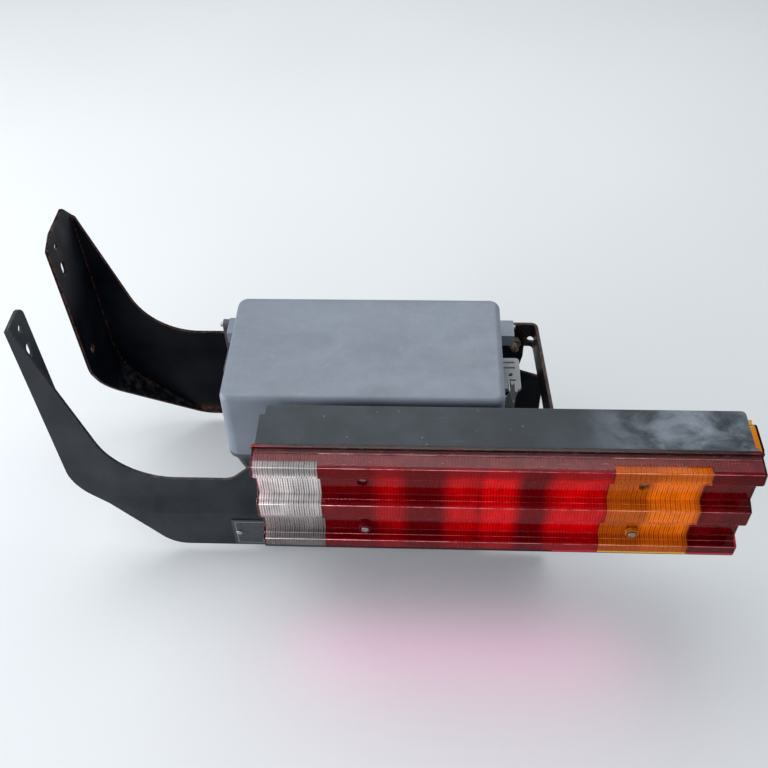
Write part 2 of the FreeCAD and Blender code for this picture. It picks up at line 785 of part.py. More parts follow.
def reflector_panel():
    """Metallised panel that carries the bulbs, with the chamber walls moulded on."""
    body = start_body("reflector_panel")
    left = size("lens_left") + size("housing_inset") + size("housing_wall") + 3
    right = housing_right() - size("housing_wall") - 3
    low = size("lens_top") - size("lens_height") + size("housing_inset") + size("housing_wall") + 1
    high = size("lens_top") - size("housing_inset") - size("housing_wall") - 1
    bulbs = [ring(x, size("bulb_height"), 8) for x in bulb_places()]
    screws = [ring(x, z, PILLAR_RADIUS + 1) for x, z, _ in lens_screw_places()]
    outline = rectangle(left, right, low, high, 6)
    pad(body, "XZ", "Sizes.panel_y", "3", outline, *bulbs, *screws)
    walls = [rectangle(x - 1, x + 1, low, high) for x in partition_places()]
    pad(body, "XZ", "Sizes.lens_face_y + 3", "Sizes.panel_y - Sizes.lens_face_y - 3", *walls)
    for x in bulb_places():
        wide = [Part.Circle(Vector(x, size("bulb_height"), 0), Vector(0, 0, 1), 21)]
        narrow = [Part.Circle(Vector(x, size("bulb_height"), 0), Vector(0, 0, 1), 11)]
        loft(body, "Additive", "XZ", [("Sizes.panel_y + 0.5", narrow), ("Sizes.panel_y - 16", wide)])
    for x in bulb_places():
        wide = [Part.Circle(Vector(x, size("bulb_height"), 0), Vector(0, 0, 1), 19.5)]
        narrow = [Part.Circle(Vector(x, size("bulb_height"), 0), Vector(0, 0, 1), 8)]
        loft(body, "Subtractive", "XZ", [("Sizes.panel_y + 0.6", narrow), ("Sizes.panel_y - 16.1", wide)])
    return body


def bulbs():
    """Bayonet bulbs in their holders behind the reflector panel."""
    holders = []
    caps = []
    glasses = []
    back = size("panel_y") + 3
    for x in bulb_places():
        height = size("bulb_height")
        shell = cylinder("Y", (x, back, height), "13", "14")
        bore = cylinder("Y", (x, back - 1, height), "7.6", "12")
        holders.append(cut(shell, bore))
        caps.append(cylinder("Y", (x, back - 8, height), "7.5", "18"))
        stem = cylinder("Y", (x, back - 16, height), "6.5", "8")
        globe = doc.addObject("Part::Sphere", "Globe")
        globe.Radius = 11
        globe.Placement.Base = Vector(x, back - 24, height)
        glasses.append(fuse(stem, globe))
    group("bulb_holders", holders)
    group("bulb_caps", caps)
    group("bulb_glasses", glasses)


MARKER_REAR = -6.0
MARKER_FRONT = -52.0
MARKER_LOW = 206.0
MARKER_TOP = 292.0
MARKER_BASE = 3.0
MARKER_LENS = 10.0
MARKER_WALL = 2.0
MARKER_EAR = 5.0


def marker_outline(inset):
    low = MARKER_LOW + inset
    return rectangle(MARKER_FRONT + inset, MARKER_REAR - inset, low, MARKER_TOP - inset, 7 - inset)


def side_marker():
    """Amber marker on the free end of the housing, on a dark base, with an ear at its upper rear corner."""
    right = housing_right()
    ear = (MARKER_REAR - 3, MARKER_TOP - 3)
    base = start_body("side_marker_base")
    pad(base, "YZ", f"{right}", f"{MARKER_BASE}", marker_outline(0))
    pad(base, "YZ", f"{right}", f"{MARKER_BASE}", ring(*ear, MARKER_EAR + 1))
    cover = start_body("side_marker_lens")
    front = right + MARKER_BASE
    pad(cover, "YZ", f"{front}", f"{MARKER_LENS}", marker_outline(1.5))
    pad(cover, "YZ", f"{front}", "4", ring(*ear, MARKER_EAR))
    cavity = marker_outline(1.5 + MARKER_WALL)
    pocket(cover, "YZ", f"{front}", f"{MARKER_LENS - MARKER_WALL}", cavity)


CONNECTOR_X = 450.0
CONNECTOR_Z = 228.0


def lamp_connector():
    """Seven-pin socket on the back of the housing; the harness itself is left out."""
    body = start_body("lamp_connector")
    pad(body, "XZ", "0", "4", ring(CONNECTOR_X, CONNECTOR_Z, 25))
    pad(body, "XZ", "4", "26", ring(CONNECTOR_X, CONNECTOR_Z, 18))
    pad(body, "XZ", "-6", "6", ring(CONNECTOR_X, CONNECTOR_Z, 18.9))
    pocket(body, "XZ", "8", "30", ring(CONNECTOR_X, CONNECTOR_Z, 15))
    pins = []
    for number in range(7):
        angle = 2 * math.pi * number / 6
        reach = 9 if number < 6 else 0
        place = (CONNECTOR_X + reach * math.cos(angle), 8, CONNECTOR_Z + reach * math.sin(angle))
        pins.append(cylinder("Y", place, "1.2", "12"))
    group("connector_pins", pins)


def lamp_bolt_places():
    left = size("lamp_bolt_left")
    right = size("lamp_bolt_right")
    low = size("lamp_bolt_low")
    high = size("lamp_bolt_high")
    return [(x, z) for x in (left, right) for z in (low, high)]


def lamp_fixings():
    """Low-head bolts, rubber spacers, washers and nuts that hold the lamp to the plate."""
    plate_back = size("front_plate_y") + size("front_joggle") + size("sheet_steel")
    plate_front = size("front_plate_y") + size("front_joggle")
    inside = -size("housing_wall")
    bolts = []
    spacers = []
    washers = []
    nuts = []
    for x, z in lamp_bolt_places():
        head = cylinder("Y", (x, plate_back, z), "8", "2.8")
        shank = cylinder("Y", (x, inside - 9, z), "Sizes.lamp_bolt_radius", f"{plate_back - inside + 10}")
        bolts.append(fuse(head, shank))
        tube = cylinder("Y", (x, 0, z), "14", f"{plate_front}")
        bore = cylinder("Y", (x, -1, z), "Sizes.lamp_bolt_radius + 0.3", f"{plate_front + 2}")
        spacers.append(cut(tube, bore))
        disc = cylinder("Y", (x, inside - 1.5, z), "8", "1.5")
        bore = cylinder("Y", (x, inside - 3, z), "Sizes.lamp_bolt_radius + 0.2", "5")
        washers.append(cut(disc, bore))
        nut = hexagon("Y", (x, inside - 8, z), "13", "6.5")
        bore = cylinder("Y", (x, inside - 9, z), "Sizes.lamp_bolt_radius", "9")
        nuts.append(cut(nut, bore))
    group("lamp_bolts", bolts)
    group("rubber_spacers", spacers)
    group("lamp_washers", washers)
    group("lamp_nuts", nuts)


# ------------------------------------------------------------------- junction box


def box_outline(inset_x, inset_y, radius):
    left = size("box_left") + inset_x
    right = size("box_right") - inset_x
    front = size("box_front") + inset_y
    rear = size("box_rear") - inset_y
    return rectangle(left, right, front, rear, radius)


EAR_THICK = 8.0
EAR_LEFT_X = -94.0
EAR_RIGHT_X = 248.0
BARREL_END_X = 297.0
EAR_RADIUS = 7.4


EAR_FOOT_Z = 166.0
LEFT_ARM_FRONT = 168.0


def hinge_brackets():
    """Two ears on feet against the rim that carry the hinge pin."""
    hinge_y = size("hinge_y")
    hinge_z = size("hinge_z")
    rise = hinge_z - EAR_FOOT_Z
    foot = size("box_rim_top") - EAR_FOOT_Z
    front = hinge_y - EAR_RADIUS
    wide = 2 * EAR_RADIUS
    brackets = []
    for outer_x, foot_x, foot_length, foot_front in (
        (EAR_LEFT_X, EAR_LEFT_X, size("box_left") - EAR_LEFT_X, LEFT_ARM_FRONT),
        (EAR_RIGHT_X - EAR_THICK, EAR_RIGHT_X - EAR_THICK, EAR_THICK, size("box_rear")),
    ):
        upright = block((outer_x, front, EAR_FOOT_Z), f"{EAR_THICK}", f"{wide}", f"{rise}")
        eye = cylinder("X", (outer_x, hinge_y, hinge_z), f"{EAR_RADIUS}", f"{EAR_THICK}")
        base_block = block(
            (foot_x, foot_front, EAR_FOOT_Z), f"{foot_length}", f"{front + wide - foot_front}", f"{foot}"
        )
        bore_radius = "Sizes.hinge_pin_radius + Sizes.pin_clearance"
        bore = cylinder("X", (outer_x - 1, hinge_y, hinge_z), bore_radius, f"{EAR_THICK + 2}")
        brackets.append(cut(fuse(upright, eye, base_block), bore))
    group("hinge_brackets", brackets)


def box_base():
    """Tapered tub with a flat rim."""
    body = start_body("box_base")
    wall = size("box_wall")
    floor = box_outline(size("tub_inset_x"), size("tub_inset_y"), size("box_corner"))
    mouth = box_outline(3, 3, size("box_corner") - 3)
    loft(body, "Additive", "XY", [("0", floor), ("Sizes.box_rim_top - 6", mouth)])
    rim = box_outline(0, 0, size("box_corner"))
    pad(body, "XY", "Sizes.box_rim_top - 6", "6", rim)
    floor_in = box_outline(size("tub_inset_x") + wall, size("tub_inset_y") + wall, size("box_corner") - wall)
    mouth_in = box_outline(3 + wall, 3 + wall, size("box_corner") - 3 - wall)
    loft(body, "Subtractive", "XY", [("Sizes.box_wall", floor_in), ("Sizes.box_rim_top - 6", mouth_in)])
    pocket(body, "XY", "Sizes.box_rim_top - 6", "7", mouth_in)
    glands = [ring(y, GLAND_Z, 8) for y in GLAND_Y]
    pocket(body, "YZ", "200", "80", *glands)
    cut_through(body, "YZ", *box_bolt_rings())
    return body


GLAND_Z = 110.0
GLAND_Y = (142.0, 169.0)
LID_KNUCKLE = 9.0


def box_lid():
    """Drafted lid with rounded top edges and two hinge knuckles."""
    body = start_body("box_lid")
    wall = size("box_wall")
    draft = size("lid_draft")
    rim = box_outline(0, 0, size("box_corner"))
    bottom = "Sizes.box_rim_top + Sizes.lid_gap"
    top = size("box_top")
    shell = pad(body, "XY", bottom, f"Sizes.box_top - ({bottom})", rim)
    shell.TaperAngle = -math.degrees(math.atan(draft / (top - size("box_rim_top"))))
    fillet_edges(body, "8", lambda edge: edge.BoundBox.ZMin > top - 0.01)
    middle = size("hinge_y")
    height = size("hinge_z")
    radius = LID_KNUCKLE - 0.01
    profile = [
        (middle - 26, height - LID_KNUCKLE),
        (middle + LID_KNUCKLE, height - LID_KNUCKLE, radius),
        (middle + LID_KNUCKLE, height + LID_KNUCKLE, radius),
        (middle - 26, height + LID_KNUCKLE),
    ]
    pad(body, "YZ", f"{EAR_LEFT_X + EAR_THICK + 1}", "38", profile)
    pad(body, "YZ", f"{EAR_RIGHT_X + 1}", f"{BARREL_END_X - EAR_RIGHT_X - 1}", profile)
    bore = ring(middle, height, size("hinge_pin_radius") + size("pin_clearance"))
    cut_through(body, "YZ", bore)
    rim_in = box_outline(wall, wall, size("box_corner") - wall)
    crown_in = box_outline(draft + wall, draft + wall, size("box_corner") - draft - wall)
    inner = [(bottom + " - 0.1", rim_in), ("Sizes.box_top - Sizes.box_wall - 6", crown_in)]
    loft(body, "Subtractive", "XY", inner)
    crown_deep = box_outline(draft + wall + 8, draft + wall + 8, 4)
    pocket(body, "XY", "Sizes.box_top - Sizes.box_wall - 8", "8", crown_deep)
    return body


def lid_gasket():
    body = start_body("lid_gasket")
    outer = box_outline(size("box_wall") + 0.2, size("box_wall") + 0.2, size("box_corner") - 3.2)
    inner = box_outline(size("box_wall") + 4.2, size("box_wall") + 4.2, size("box_corner") - 7.2)
    pad(body, "XY", "Sizes.box_rim_top + Sizes.lid_gap", "5", outer, inner)


def hinge_pin():
    start = EAR_LEFT_X - 4
    length = BARREL_END_X - EAR_LEFT_X + 7
    rod = cylinder("X", (start, size("hinge_y"), size("hinge_z")), "Sizes.hinge_pin_radius", f"{length}")
    group("hinge_pin", [rod])


LATCH_WIDTH = 16.0


def latch_bracket():
    """Two lugs and a back plate on the base that carry the latch lever."""
    body = start_body("latch_bracket")
    middle = size("latch_y")
    left = size("box_right")
    back = rectangle(middle - 20, middle + 20, size("box_rim_top") - 30, size("box_rim_top") - 1, 3)
    pad(body, "YZ", f"{left}", "3", back)
    lug = [
        (left, size("latch_z") - 7),
        (size("latch_x") + 7, size("latch_z") - 7, 6.9),
        (size("latch_x") + 7, size("latch_z") + 7, 6.9),
        (left, size("latch_z") + 7),
    ]
    for start in (middle - LATCH_WIDTH / 2 - 5, middle + LATCH_WIDTH / 2 + 1):
        pad(body, "XZ", f"{start}", "4", lug)
    bore = ring(size("latch_x"), size("latch_z"), size("latch_pin_radius") + size("pin_clearance"))
    cut_through(body, "XZ", bore)
    return body


def latch():
    """Lever, pin and wire bail of the toggle latch at the box's free end."""
    middle = size("latch_y")
    axis_x = size("latch_x")
    axis_z = size("latch_z")
    lever = start_body("latch_lever")
    half = LATCH_WIDTH / 2
    profile = [
        (axis_x - 5, axis_z - 5, 4.9),
        (axis_x + 5, axis_z - 5, 4.9),
        (axis_x + 5, axis_z + 26, 2),
        (axis_x + 8, axis_z + 37, 2),
        (axis_x + 4, axis_z + 38, 1),
        (axis_x, axis_z + 26, 2),
        (axis_x - 5, axis_z + 8, 3),
    ]
    pad(lever, "XZ", f"{middle - half}", f"{LATCH_WIDTH}", profile)
    cut_through(lever, "XZ", ring(axis_x, axis_z, size("latch_pin_radius") + size("pin_clearance")))
    cut_through(lever, "XZ", ring(axis_x + 2.5, axis_z + 20, BAIL_WIRE + size("pin_clearance")))
    pin = cylinder("Y", (axis_x, middle - half - 8, axis_z), "Sizes.latch_pin_radius", f"{LATCH_WIDTH + 16}")
    group("latch_pin", [pin])
    bail(axis_x + 2.5, middle, axis_z + 20)


def bail(wire_x, middle, wire_z):
    """Closed wire loop that leans from the lever to the catch's nose."""
    reach = 22.0
    half = LATCH_WIDTH / 2 + 3
    rest_x = catch_nose_x() + BAIL_WIRE + 0.4
    lean = math.degrees(math.asin((wire_x - rest_x) / reach))
    loop = Part.Wire([curve.toShape() for curve in rounded(rectangle(-half, half, 0, reach, 2.8))])
    section = Part.Wire(Part.Circle(Vector(0, 0, 0), Vector(1, 0, 0), BAIL_WIRE).toShape())
    wire = Part.Wire(loop.OrderedEdges)
    shape = wire.makePipeShell([section], True, False)
    stand = Placement(Vector(), Rotation(Vector(0, 1, 0), -lean))
    feature = doc.addObject("Part::Feature", "Bail")
    feature.Shape = shape
    upright = Placement(Vector(), Rotation(90, 0, 90))
    feature.Placement = Placement(Vector(wire_x, middle, wire_z), Rotation()) * stand * upright
    group("latch_bail", [feature])


BAIL_WIRE = 1.2


CATCH_LOW = 18.0
CATCH_OUT = 10.0


def lid_wall_x(height):
    """Outer face of the lid's end wall at a height above the rim."""
    slope = size("lid_draft") / (size("box_top") - size("box_rim_top"))
    return size("box_right") - slope * (height - size("lid_gap"))


def catch_nose_x():
    return lid_wall_x(CATCH_LOW) + CATCH_OUT


def lid_catch():
    """Catch on the lid's end wall that the bail rests against."""
    body = start_body("lid_catch")
    low = size("box_rim_top") + CATCH_LOW
    high = low + 20
    foot = lid_wall_x(CATCH_LOW)
    head = lid_wall_x(CATCH_LOW + 20)
    nose = catch_nose_x()
    profile = [(foot, low), (nose - 6, low), (nose, low + 8, 1), (nose, low + 12, 1)]
    profile += [(nose - 6, low + 12), (head, high)]
    pad(body, "XZ", "Sizes.latch_y - 9", "18", profile)
    return body


def slotted_side_flange():
    """Slotted strip beside the rim for cable ties."""
    body = start_body("slotted_side_flange")
    left = size("box_right")
    front = size("latch_y") + 22
    length = 58.0
    outline = rectangle(left, left + 31, front, front + length)
    outline = [(u, v, 5) if u > left else (u, v) for u, v, _ in outline]
    slots = []
    for place in (5, 15, 38, 48):
        slots.append(rectangle(left + 9, left + 25, front + place, front + place + 3.4, 1.6))
    pad(body, "XY", "Sizes.box_rim_top - 9", "4", outline, *slots, ring(left + 18, front + 27, 3))
    upright = rectangle(left, left + 3, front, front + length)
    pad(body, "XY", "Sizes.box_rim_top - 30", "29.5", upright)
    return body


def flange_screws():
    """Screws that hold the latch bracket and the slotted flange to the tub."""
    screws = []
    height = size("box_rim_top") - 2.3
    middle = size("latch_y")
    places = [(y, height) for y in (middle - 15, middle + 15, middle + 32, middle + 68)]
    for y, z in places:
        screws.append(cylinder("X", (size("box_right") + 3, y, z), "2.4", "1.6"))
    group("side_screws", screws)


def terminals():
    """Mounting rail with screw terminals on the floor of the tub."""
    rail = start_body("terminal_rail")
    low = size("box_wall")
    profile = [
        (96, low), (131, low), (131, low + 7), (125, low + 7), (125, low + 1.5), (102, low + 1.5),
        (102, low + 7), (96, low + 7),
    ]
    pad(rail, "YZ", "0", "210", profile)
    blocks = []
    screws = []
    for number in range(12):
        start = 14 + number * 15
        foot = block((start, 94, low + 7), "14", "39", "10")
        tower = block((start, 100, low + 16), "14", "27", "22")
        blocks.append(fuse(foot, tower))
        for y in (105, 122):
            screws.append(cylinder("Z", (start + 7, y, low + 38), "3", "2"))
    group("terminal_blocks", blocks)
    group("terminal_screws", screws)


def tub_wall_x(height):
    """Outer face of the tub's free end at a height."""
    share = height / (size("box_rim_top") - 6)
    return size("box_right") - size("tub_inset_x") + share * (size("tub_inset_x") - 3)


def cable_glands():
    """Glands for the harness; the cables themselves are left out."""
    wall = tub_wall_x(GLAND_Z)
    glands = []
    nuts = []
    for y in GLAND_Y:
        flange = hexagon("X", (wall + 3.7, y, GLAND_Z), "24", "5")
        dome = cylinder("X", (wall + 8, y, GLAND_Z), "10", "10")
        thread = cylinder("X", (wall - 16, y, GLAND_Z), "7.5", "20")
        seal_bore = cylinder("X", (wall + 5, y, GLAND_Z), "4.5", "20")
        wide_bore = cylinder("X", (wall - 20, y, GLAND_Z), "5.8", "26")
        glands.append(cut(cut(fuse(flange, dome, thread), seal_bore), wide_bore))
        nut = hexagon("X", (wall - 12, y, GLAND_Z), "20", "5")
        nut_bore = cylinder("X", (wall - 13, y, GLAND_Z), "7.5", "8")
        nuts.append(cut(nut, nut_bore))
    group("cable_glands", glands)
    group("gland_nuts", nuts)


BOX_BOLT_Z = 64.0
BOX_BOLT_Y = (84.0, 158.0)
BOX_BOLT_RADIUS = 3.0


def box_fixings():
    """Spacers, bolts and nuts that hold the tub between the cross tubes."""
    spacers = []
    bolts = []
    nuts = []
    left_face = TUBE_LEFT_X + TUBE_WIDTH
    left_wall = size("box_left") + size("box_right") - tub_wall_x(BOX_BOLT_Z + 4)
    right_wall = tub_wall_x(BOX_BOLT_Z + 4)
    for y in BOX_BOLT_Y:
        low = BOX_BOLT_Z - 4
        hole = f"{BOX_BOLT_RADIUS + 0.2}"
        for start, end in ((left_face, left_wall - 0.1), (right_wall + 0.1, TUBE_RIGHT_X)):
            spacer = block((start, y - 8, low), f"{end - start}", "16", "8")
            spacers.append(cut(spacer, cylinder("X", (start - 1, y, BOX_BOLT_Z), hole, f"{end - start + 2}")))
        reach = 36
        for head_x, shank_x, nut_x in (
            (TUBE_LEFT_X - 4, TUBE_LEFT_X - 2, left_wall + 6),
            (TUBE_RIGHT_X + TUBE_WIDTH, TUBE_RIGHT_X + TUBE_WIDTH - reach + 2, right_wall - 11),
        ):
            head = hexagon("X", (head_x, y, BOX_BOLT_Z), "10", "4")
            shank = cylinder("X", (shank_x, y, BOX_BOLT_Z), f"{BOX_BOLT_RADIUS}", f"{reach}")
            bolts.append(fuse(head, shank))
            nut = hexagon("X", (nut_x, y, BOX_BOLT_Z), "10", "5")
            nuts.append(cut(nut, cylinder("X", (nut_x - 1, y, BOX_BOLT_Z), f"{BOX_BOLT_RADIUS}", "7")))
    group("box_spacers", spacers)
    group("box_bolts", bolts)
    group("box_nuts", nuts)


# ------------------------------------------------------------------------ assembly

front_bracket_plate()
rear_bracket_plate()
cross_tubes()
end_strap()
end_strap_fasteners()
blank_plate()
lens()
lens_gasket()
lens_screws()
lens_collars()
lamp_housing()
reflector_panel()
bulbs()
side_marker()
lamp_connector()
lamp_fixings()
box_base()
hinge_brackets()
box_lid()
lid_gasket()
hinge_pin()
latch_bracket()
latch()
lid_catch()
slotted_side_flange()
flange_screws()
terminals()
cable_glands()
box_fixings()
doc.recompute()

# ------------------------------------------------------------------- checks and export

for item in doc.Objects:
    if {"Invalid", "Error"} & set(item.State):
        raise RuntimeError(f"{item.Label}: {item.State}")
    if item.TypeId in ("PartDesign::Pocket", "PartDesign::SubtractiveLoft"):
        if item.Shape.Volume >= item.BaseFeature.Shape.Volume - 1:
            raise RuntimeError(f"{item.Label} of {item.Profile[0].Label} cuts nothing")

box = FreeCAD.BoundBox()
for node in NODES:
    shape = node.Shape
    if shape.isNull() or not shape.isValid():
        raise RuntimeError(f"{node.Label} has no valid shape")
    box.add(shape.BoundBox)

os.makedirs("parts", exist_ok=True)
for node in NODES:
    node.Shape.exportStep(f"parts/{node.Label}.step")
    print(node.Label, len(node.Shape.Solids), round(node.Shape.Volume))
print("size", [round(v, 2) for v in (box.XLength, box.YLength, box.ZLength)])
print("centre", round(box.Center.x, 2), round(box.Center.y, 2), "bottom", round(box.ZMin, 2))
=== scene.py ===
"""Looks of the truck rear lamp: camera, light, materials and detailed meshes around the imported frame."""

import json
import math

import bmesh
import bpy
from mathutils import Matrix, Vector


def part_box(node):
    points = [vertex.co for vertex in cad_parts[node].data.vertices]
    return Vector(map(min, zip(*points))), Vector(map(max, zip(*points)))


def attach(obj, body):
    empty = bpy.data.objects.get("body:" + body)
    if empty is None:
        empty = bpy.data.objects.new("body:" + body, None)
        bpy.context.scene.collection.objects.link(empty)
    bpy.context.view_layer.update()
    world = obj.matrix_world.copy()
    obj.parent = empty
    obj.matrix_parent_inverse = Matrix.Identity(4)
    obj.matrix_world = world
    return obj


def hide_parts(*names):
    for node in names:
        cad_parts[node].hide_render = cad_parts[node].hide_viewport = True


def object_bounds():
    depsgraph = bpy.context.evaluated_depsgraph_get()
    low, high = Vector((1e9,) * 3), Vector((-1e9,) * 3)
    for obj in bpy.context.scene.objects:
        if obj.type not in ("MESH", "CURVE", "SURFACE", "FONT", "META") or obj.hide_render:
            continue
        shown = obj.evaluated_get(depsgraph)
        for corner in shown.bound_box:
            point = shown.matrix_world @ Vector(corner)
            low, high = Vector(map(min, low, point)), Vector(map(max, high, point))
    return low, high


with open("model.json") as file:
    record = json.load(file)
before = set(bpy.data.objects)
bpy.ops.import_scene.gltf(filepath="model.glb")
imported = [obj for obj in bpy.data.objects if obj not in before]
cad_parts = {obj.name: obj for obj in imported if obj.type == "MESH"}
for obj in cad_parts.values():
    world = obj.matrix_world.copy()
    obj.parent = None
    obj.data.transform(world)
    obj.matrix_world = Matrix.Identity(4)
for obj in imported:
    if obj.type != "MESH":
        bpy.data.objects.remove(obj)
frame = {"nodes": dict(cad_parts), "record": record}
cad_low, cad_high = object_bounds()

MM = 0.001


# ---------------------------------------------------------------------------- materials


def rgb(red, green, blue):
    """Linear colour from screen values of 0 to 255."""
    def linear(value):
        share = value / 255
        return share / 12.92 if share <= 0.04045 else ((share + 0.055) / 1.055) ** 2.4
    return (linear(red), linear(green), linear(blue), 1.0)


def scaled(colour, factor, lift=0.0):
    """Lighter or darker version of a linear colour."""
    return tuple(min(1.0, channel * factor + lift) for channel in colour[:3]) + (1.0,)


class Look:
    """A material in the making, with short ways to add and join its nodes."""

    def __init__(self, name, **plain):
        self.material = bpy.data.materials.new(name)
        self.material.use_nodes = True
        self.tree = self.material.node_tree
        self.shader = self.tree.nodes["Principled BSDF"]
        self.place = self.add("ShaderNodeTexCoord").outputs["Object"]
        for socket, value in plain.items():
            self.shader.inputs[socket.replace("_", " ")].default_value = value

    def add(self, kind, **settings):
        node = self.tree.nodes.new(kind)
        for key, value in settings.items():
            setattr(node, key, value)
        return node

    def put(self, value, socket):
        """Link an output, or set a plain value."""
        if isinstance(value, bpy.types.NodeSocket):
            self.tree.links.new(value, socket)
        else:
            socket.default_value = value

    def give(self, socket, value):
        self.put(value, self.shader.inputs[socket])

    def noise(self, size, detail=3.0, roughness=0.55, stretch=(1, 1, 1), twist=0.0, shift=0.0):
        """Noise from 0 to 1 whose patches are about size millimetres across."""
        mapping = self.add("ShaderNodeMapping")
        mapping.inputs["Scale"].default_value = stretch
        mapping.inputs["Location"].default_value = (shift, shift * 0.7, shift * 1.3)
        self.put(self.place, mapping.inputs["Vector"])
        node = self.add("ShaderNodeTexNoise")
        self.put(mapping.outputs[0], node.inputs["Vector"])
        node.inputs["Scale"].default_value = 1 / (size * MM)
        node.inputs["Detail"].default_value = detail
        node.inputs["Roughness"].default_value = roughness
        node.inputs["Distortion"].default_value = twist
        return node.outputs[0]

    def cells(self, size):
        """Distance to scattered points about size millimetres apart."""
        node = self.add("ShaderNodeTexVoronoi")
        self.put(self.place, node.inputs["Vector"])
        node.inputs["Scale"].default_value = 1 / (size * MM)
        return node.outputs[0]

    def span(self, value, low, high, start=0.0, end=1.0):
        """Smooth step of a value between low and high."""
        node = self.add("ShaderNodeMapRange", interpolation_type="SMOOTHSTEP")
        self.put(value, node.inputs["Value"])
        for socket, number in zip(("From Min", "From Max", "To Min", "To Max"), (low, high, start, end)):
            node.inputs[socket].default_value = number
        return node.outputs[0]

    def maths(self, operation, first, second=0.0):
        node = self.add("ShaderNodeMath", operation=operation)
        self.put(first, node.inputs[0])
        self.put(second, node.inputs[1])
        return node.outputs[0]

    def mix(self, share, first, second):
        node = self.add("ShaderNodeMix", data_type="RGBA")
        self.put(share, node.inputs[0])
        self.put(first, node.inputs[6])
        self.put(second, node.inputs[7])
        return node.outputs[2]

    def clouds(self, noise, first, second):
        """Soft patches of two colours."""
        return self.mix(self.span(noise, 0.3, 0.7), first, second)

    def axis(self, letter):
        """Position along one axis, in metres, in the piece's own frame."""
        node = self.add("ShaderNodeSeparateXYZ")
        self.put(self.place, node.inputs[0])
        return node.outputs[letter]

    def window(self, value, low, high, soft):
        """1 between low and high, fading over soft on either side."""
        rising = self.span(value, low - soft, low + soft)
        falling = self.span(value, high - soft, high + soft, 1.0, 0.0)
        return self.maths("MULTIPLY", rising, falling)

    def upward(self, low=0.2, high=0.95):
        """1 on surfaces that face up."""
        geometry = self.add("ShaderNodeNewGeometry")
        node = self.add("ShaderNodeSeparateXYZ")
        self.put(geometry.outputs["Normal"], node.inputs[0])
        return self.span(node.outputs["Z"], low, high)

    def edges(self, radius):
        """1 along convex and concave edges, within radius millimetres of them."""
        keen = 0.06
        bevel = self.add("ShaderNodeBevel", samples=4)
        bevel.inputs["Radius"].default_value = radius * MM
        geometry = self.add("ShaderNodeNewGeometry")
        node = self.add("ShaderNodeVectorMath", operation="DOT_PRODUCT")
        self.put(bevel.outputs[0], node.inputs[0])
        self.put(geometry.outputs["Normal"], node.inputs[1])
        return self.span(node.outputs["Value"], 1.0 - keen, 1.0 - keen * 0.1, 1.0, 0.0)

    def bump(self, height, depth, strength=1.0, after=None):
        """Raised pattern of a given depth in millimetres."""
        node = self.add("ShaderNodeBump")
        node.inputs["Strength"].default_value = strength
        node.inputs["Distance"].default_value = depth * MM
        self.put(height, node.inputs["Height"])
        if after is not None:
            self.put(after, node.inputs["Normal"])
        return node.outputs[0]


def steel_paint(name, paint, gloss, shine, rust_edges, rust_patches, heel_rust=0.0):
    """Stoved black paint on pressed steel, worn at its edges to rust."""
    look = Look(name, Specular_IOR_Level=shine)
    broad = look.noise(60, 4, shift=3.1)
    fine = look.noise(2.2, 3, shift=1.7)
    colour = look.mix(look.span(broad, 0.35, 0.7), paint, scaled(paint, 1.55, 0.004))
    dust = look.maths("MULTIPLY", look.upward(0.3, 1.0), look.span(look.noise(9, 6, 0.7, shift=8), 0.42, 0.72))
    colour = look.mix(look.maths("MULTIPLY", dust, 0.22), colour, rgb(150, 146, 138))
    ragged = look.noise(5, 5, 0.7, shift=5.5)
    bare = look.span(ragged, 0.62 - rust_edges * 0.3, 0.72 - rust_edges * 0.3)
    edge = look.maths("MULTIPLY", look.edges(2.6), bare)
    blotch = look.noise(22, 8, 0.72, twist=0.6, shift=12)
    patch = look.span(blotch, 0.78 - rust_patches * 0.25, 0.84 - rust_patches * 0.2)
    rust = look.maths("MAXIMUM", edge, patch)
    if heel_rust:
        height = look.axis("Z")
        low_band = look.span(height, 0.045, 0.014)
        stain = look.maths("MULTIPLY", low_band, look.span(look.noise(14, 6, 0.7, shift=2), 0.38, 0.62))
        rust = look.maths("MAXIMUM", rust, look.maths("MULTIPLY", stain, heel_rust))
    rust_colour = look.mix(look.span(look.noise(3, 5, shift=6), 0.35, 0.65), rgb(74, 44, 30), rgb(128, 80, 50))
    look.give("Base Color", look.mix(rust, colour, rust_colour))
    smear = look.span(look.noise(35, 5, 0.65, stretch=(1, 1, 0.35), shift=9), 0.3, 0.75, gloss, gloss + 0.2)
    rough = look.maths("ADD", smear, look.maths("MULTIPLY", rust, 0.4))
    look.give("Roughness", rough)
    peel = look.bump(fine, 0.05, 0.5)
    look.give("Normal", look.bump(look.maths("MULTIPLY", rust, ragged), 0.35, 0.8, after=peel))
    return look.material


def rusty_metal(name):
    look = Look(name, Metallic=0.55)
    patch = look.span(look.noise(4, 6, 0.7), 0.35, 0.65)
    look.give("Base Color", look.mix(patch, rgb(96, 66, 48), rgb(140, 128, 118)))
    look.give("Roughness", look.span(patch, 0.0, 1.0, 0.85, 0.45))
    look.give("Normal", look.bump(look.noise(1.2, 5, 0.7), 0.12))
    return look.material


def zinc(name):
    look = Look(name, Metallic=1.0)
    patch = look.span(look.noise(7, 5, 0.65), 0.3, 0.7)
    look.give("Base Color", look.mix(patch, rgb(150, 150, 146), rgb(196, 196, 192)))
    look.give("Roughness", look.span(look.noise(2, 4), 0.3, 0.7, 0.28, 0.5))
    look.give("Normal", look.bump(look.noise(0.5, 3), 0.02))
    return look.material


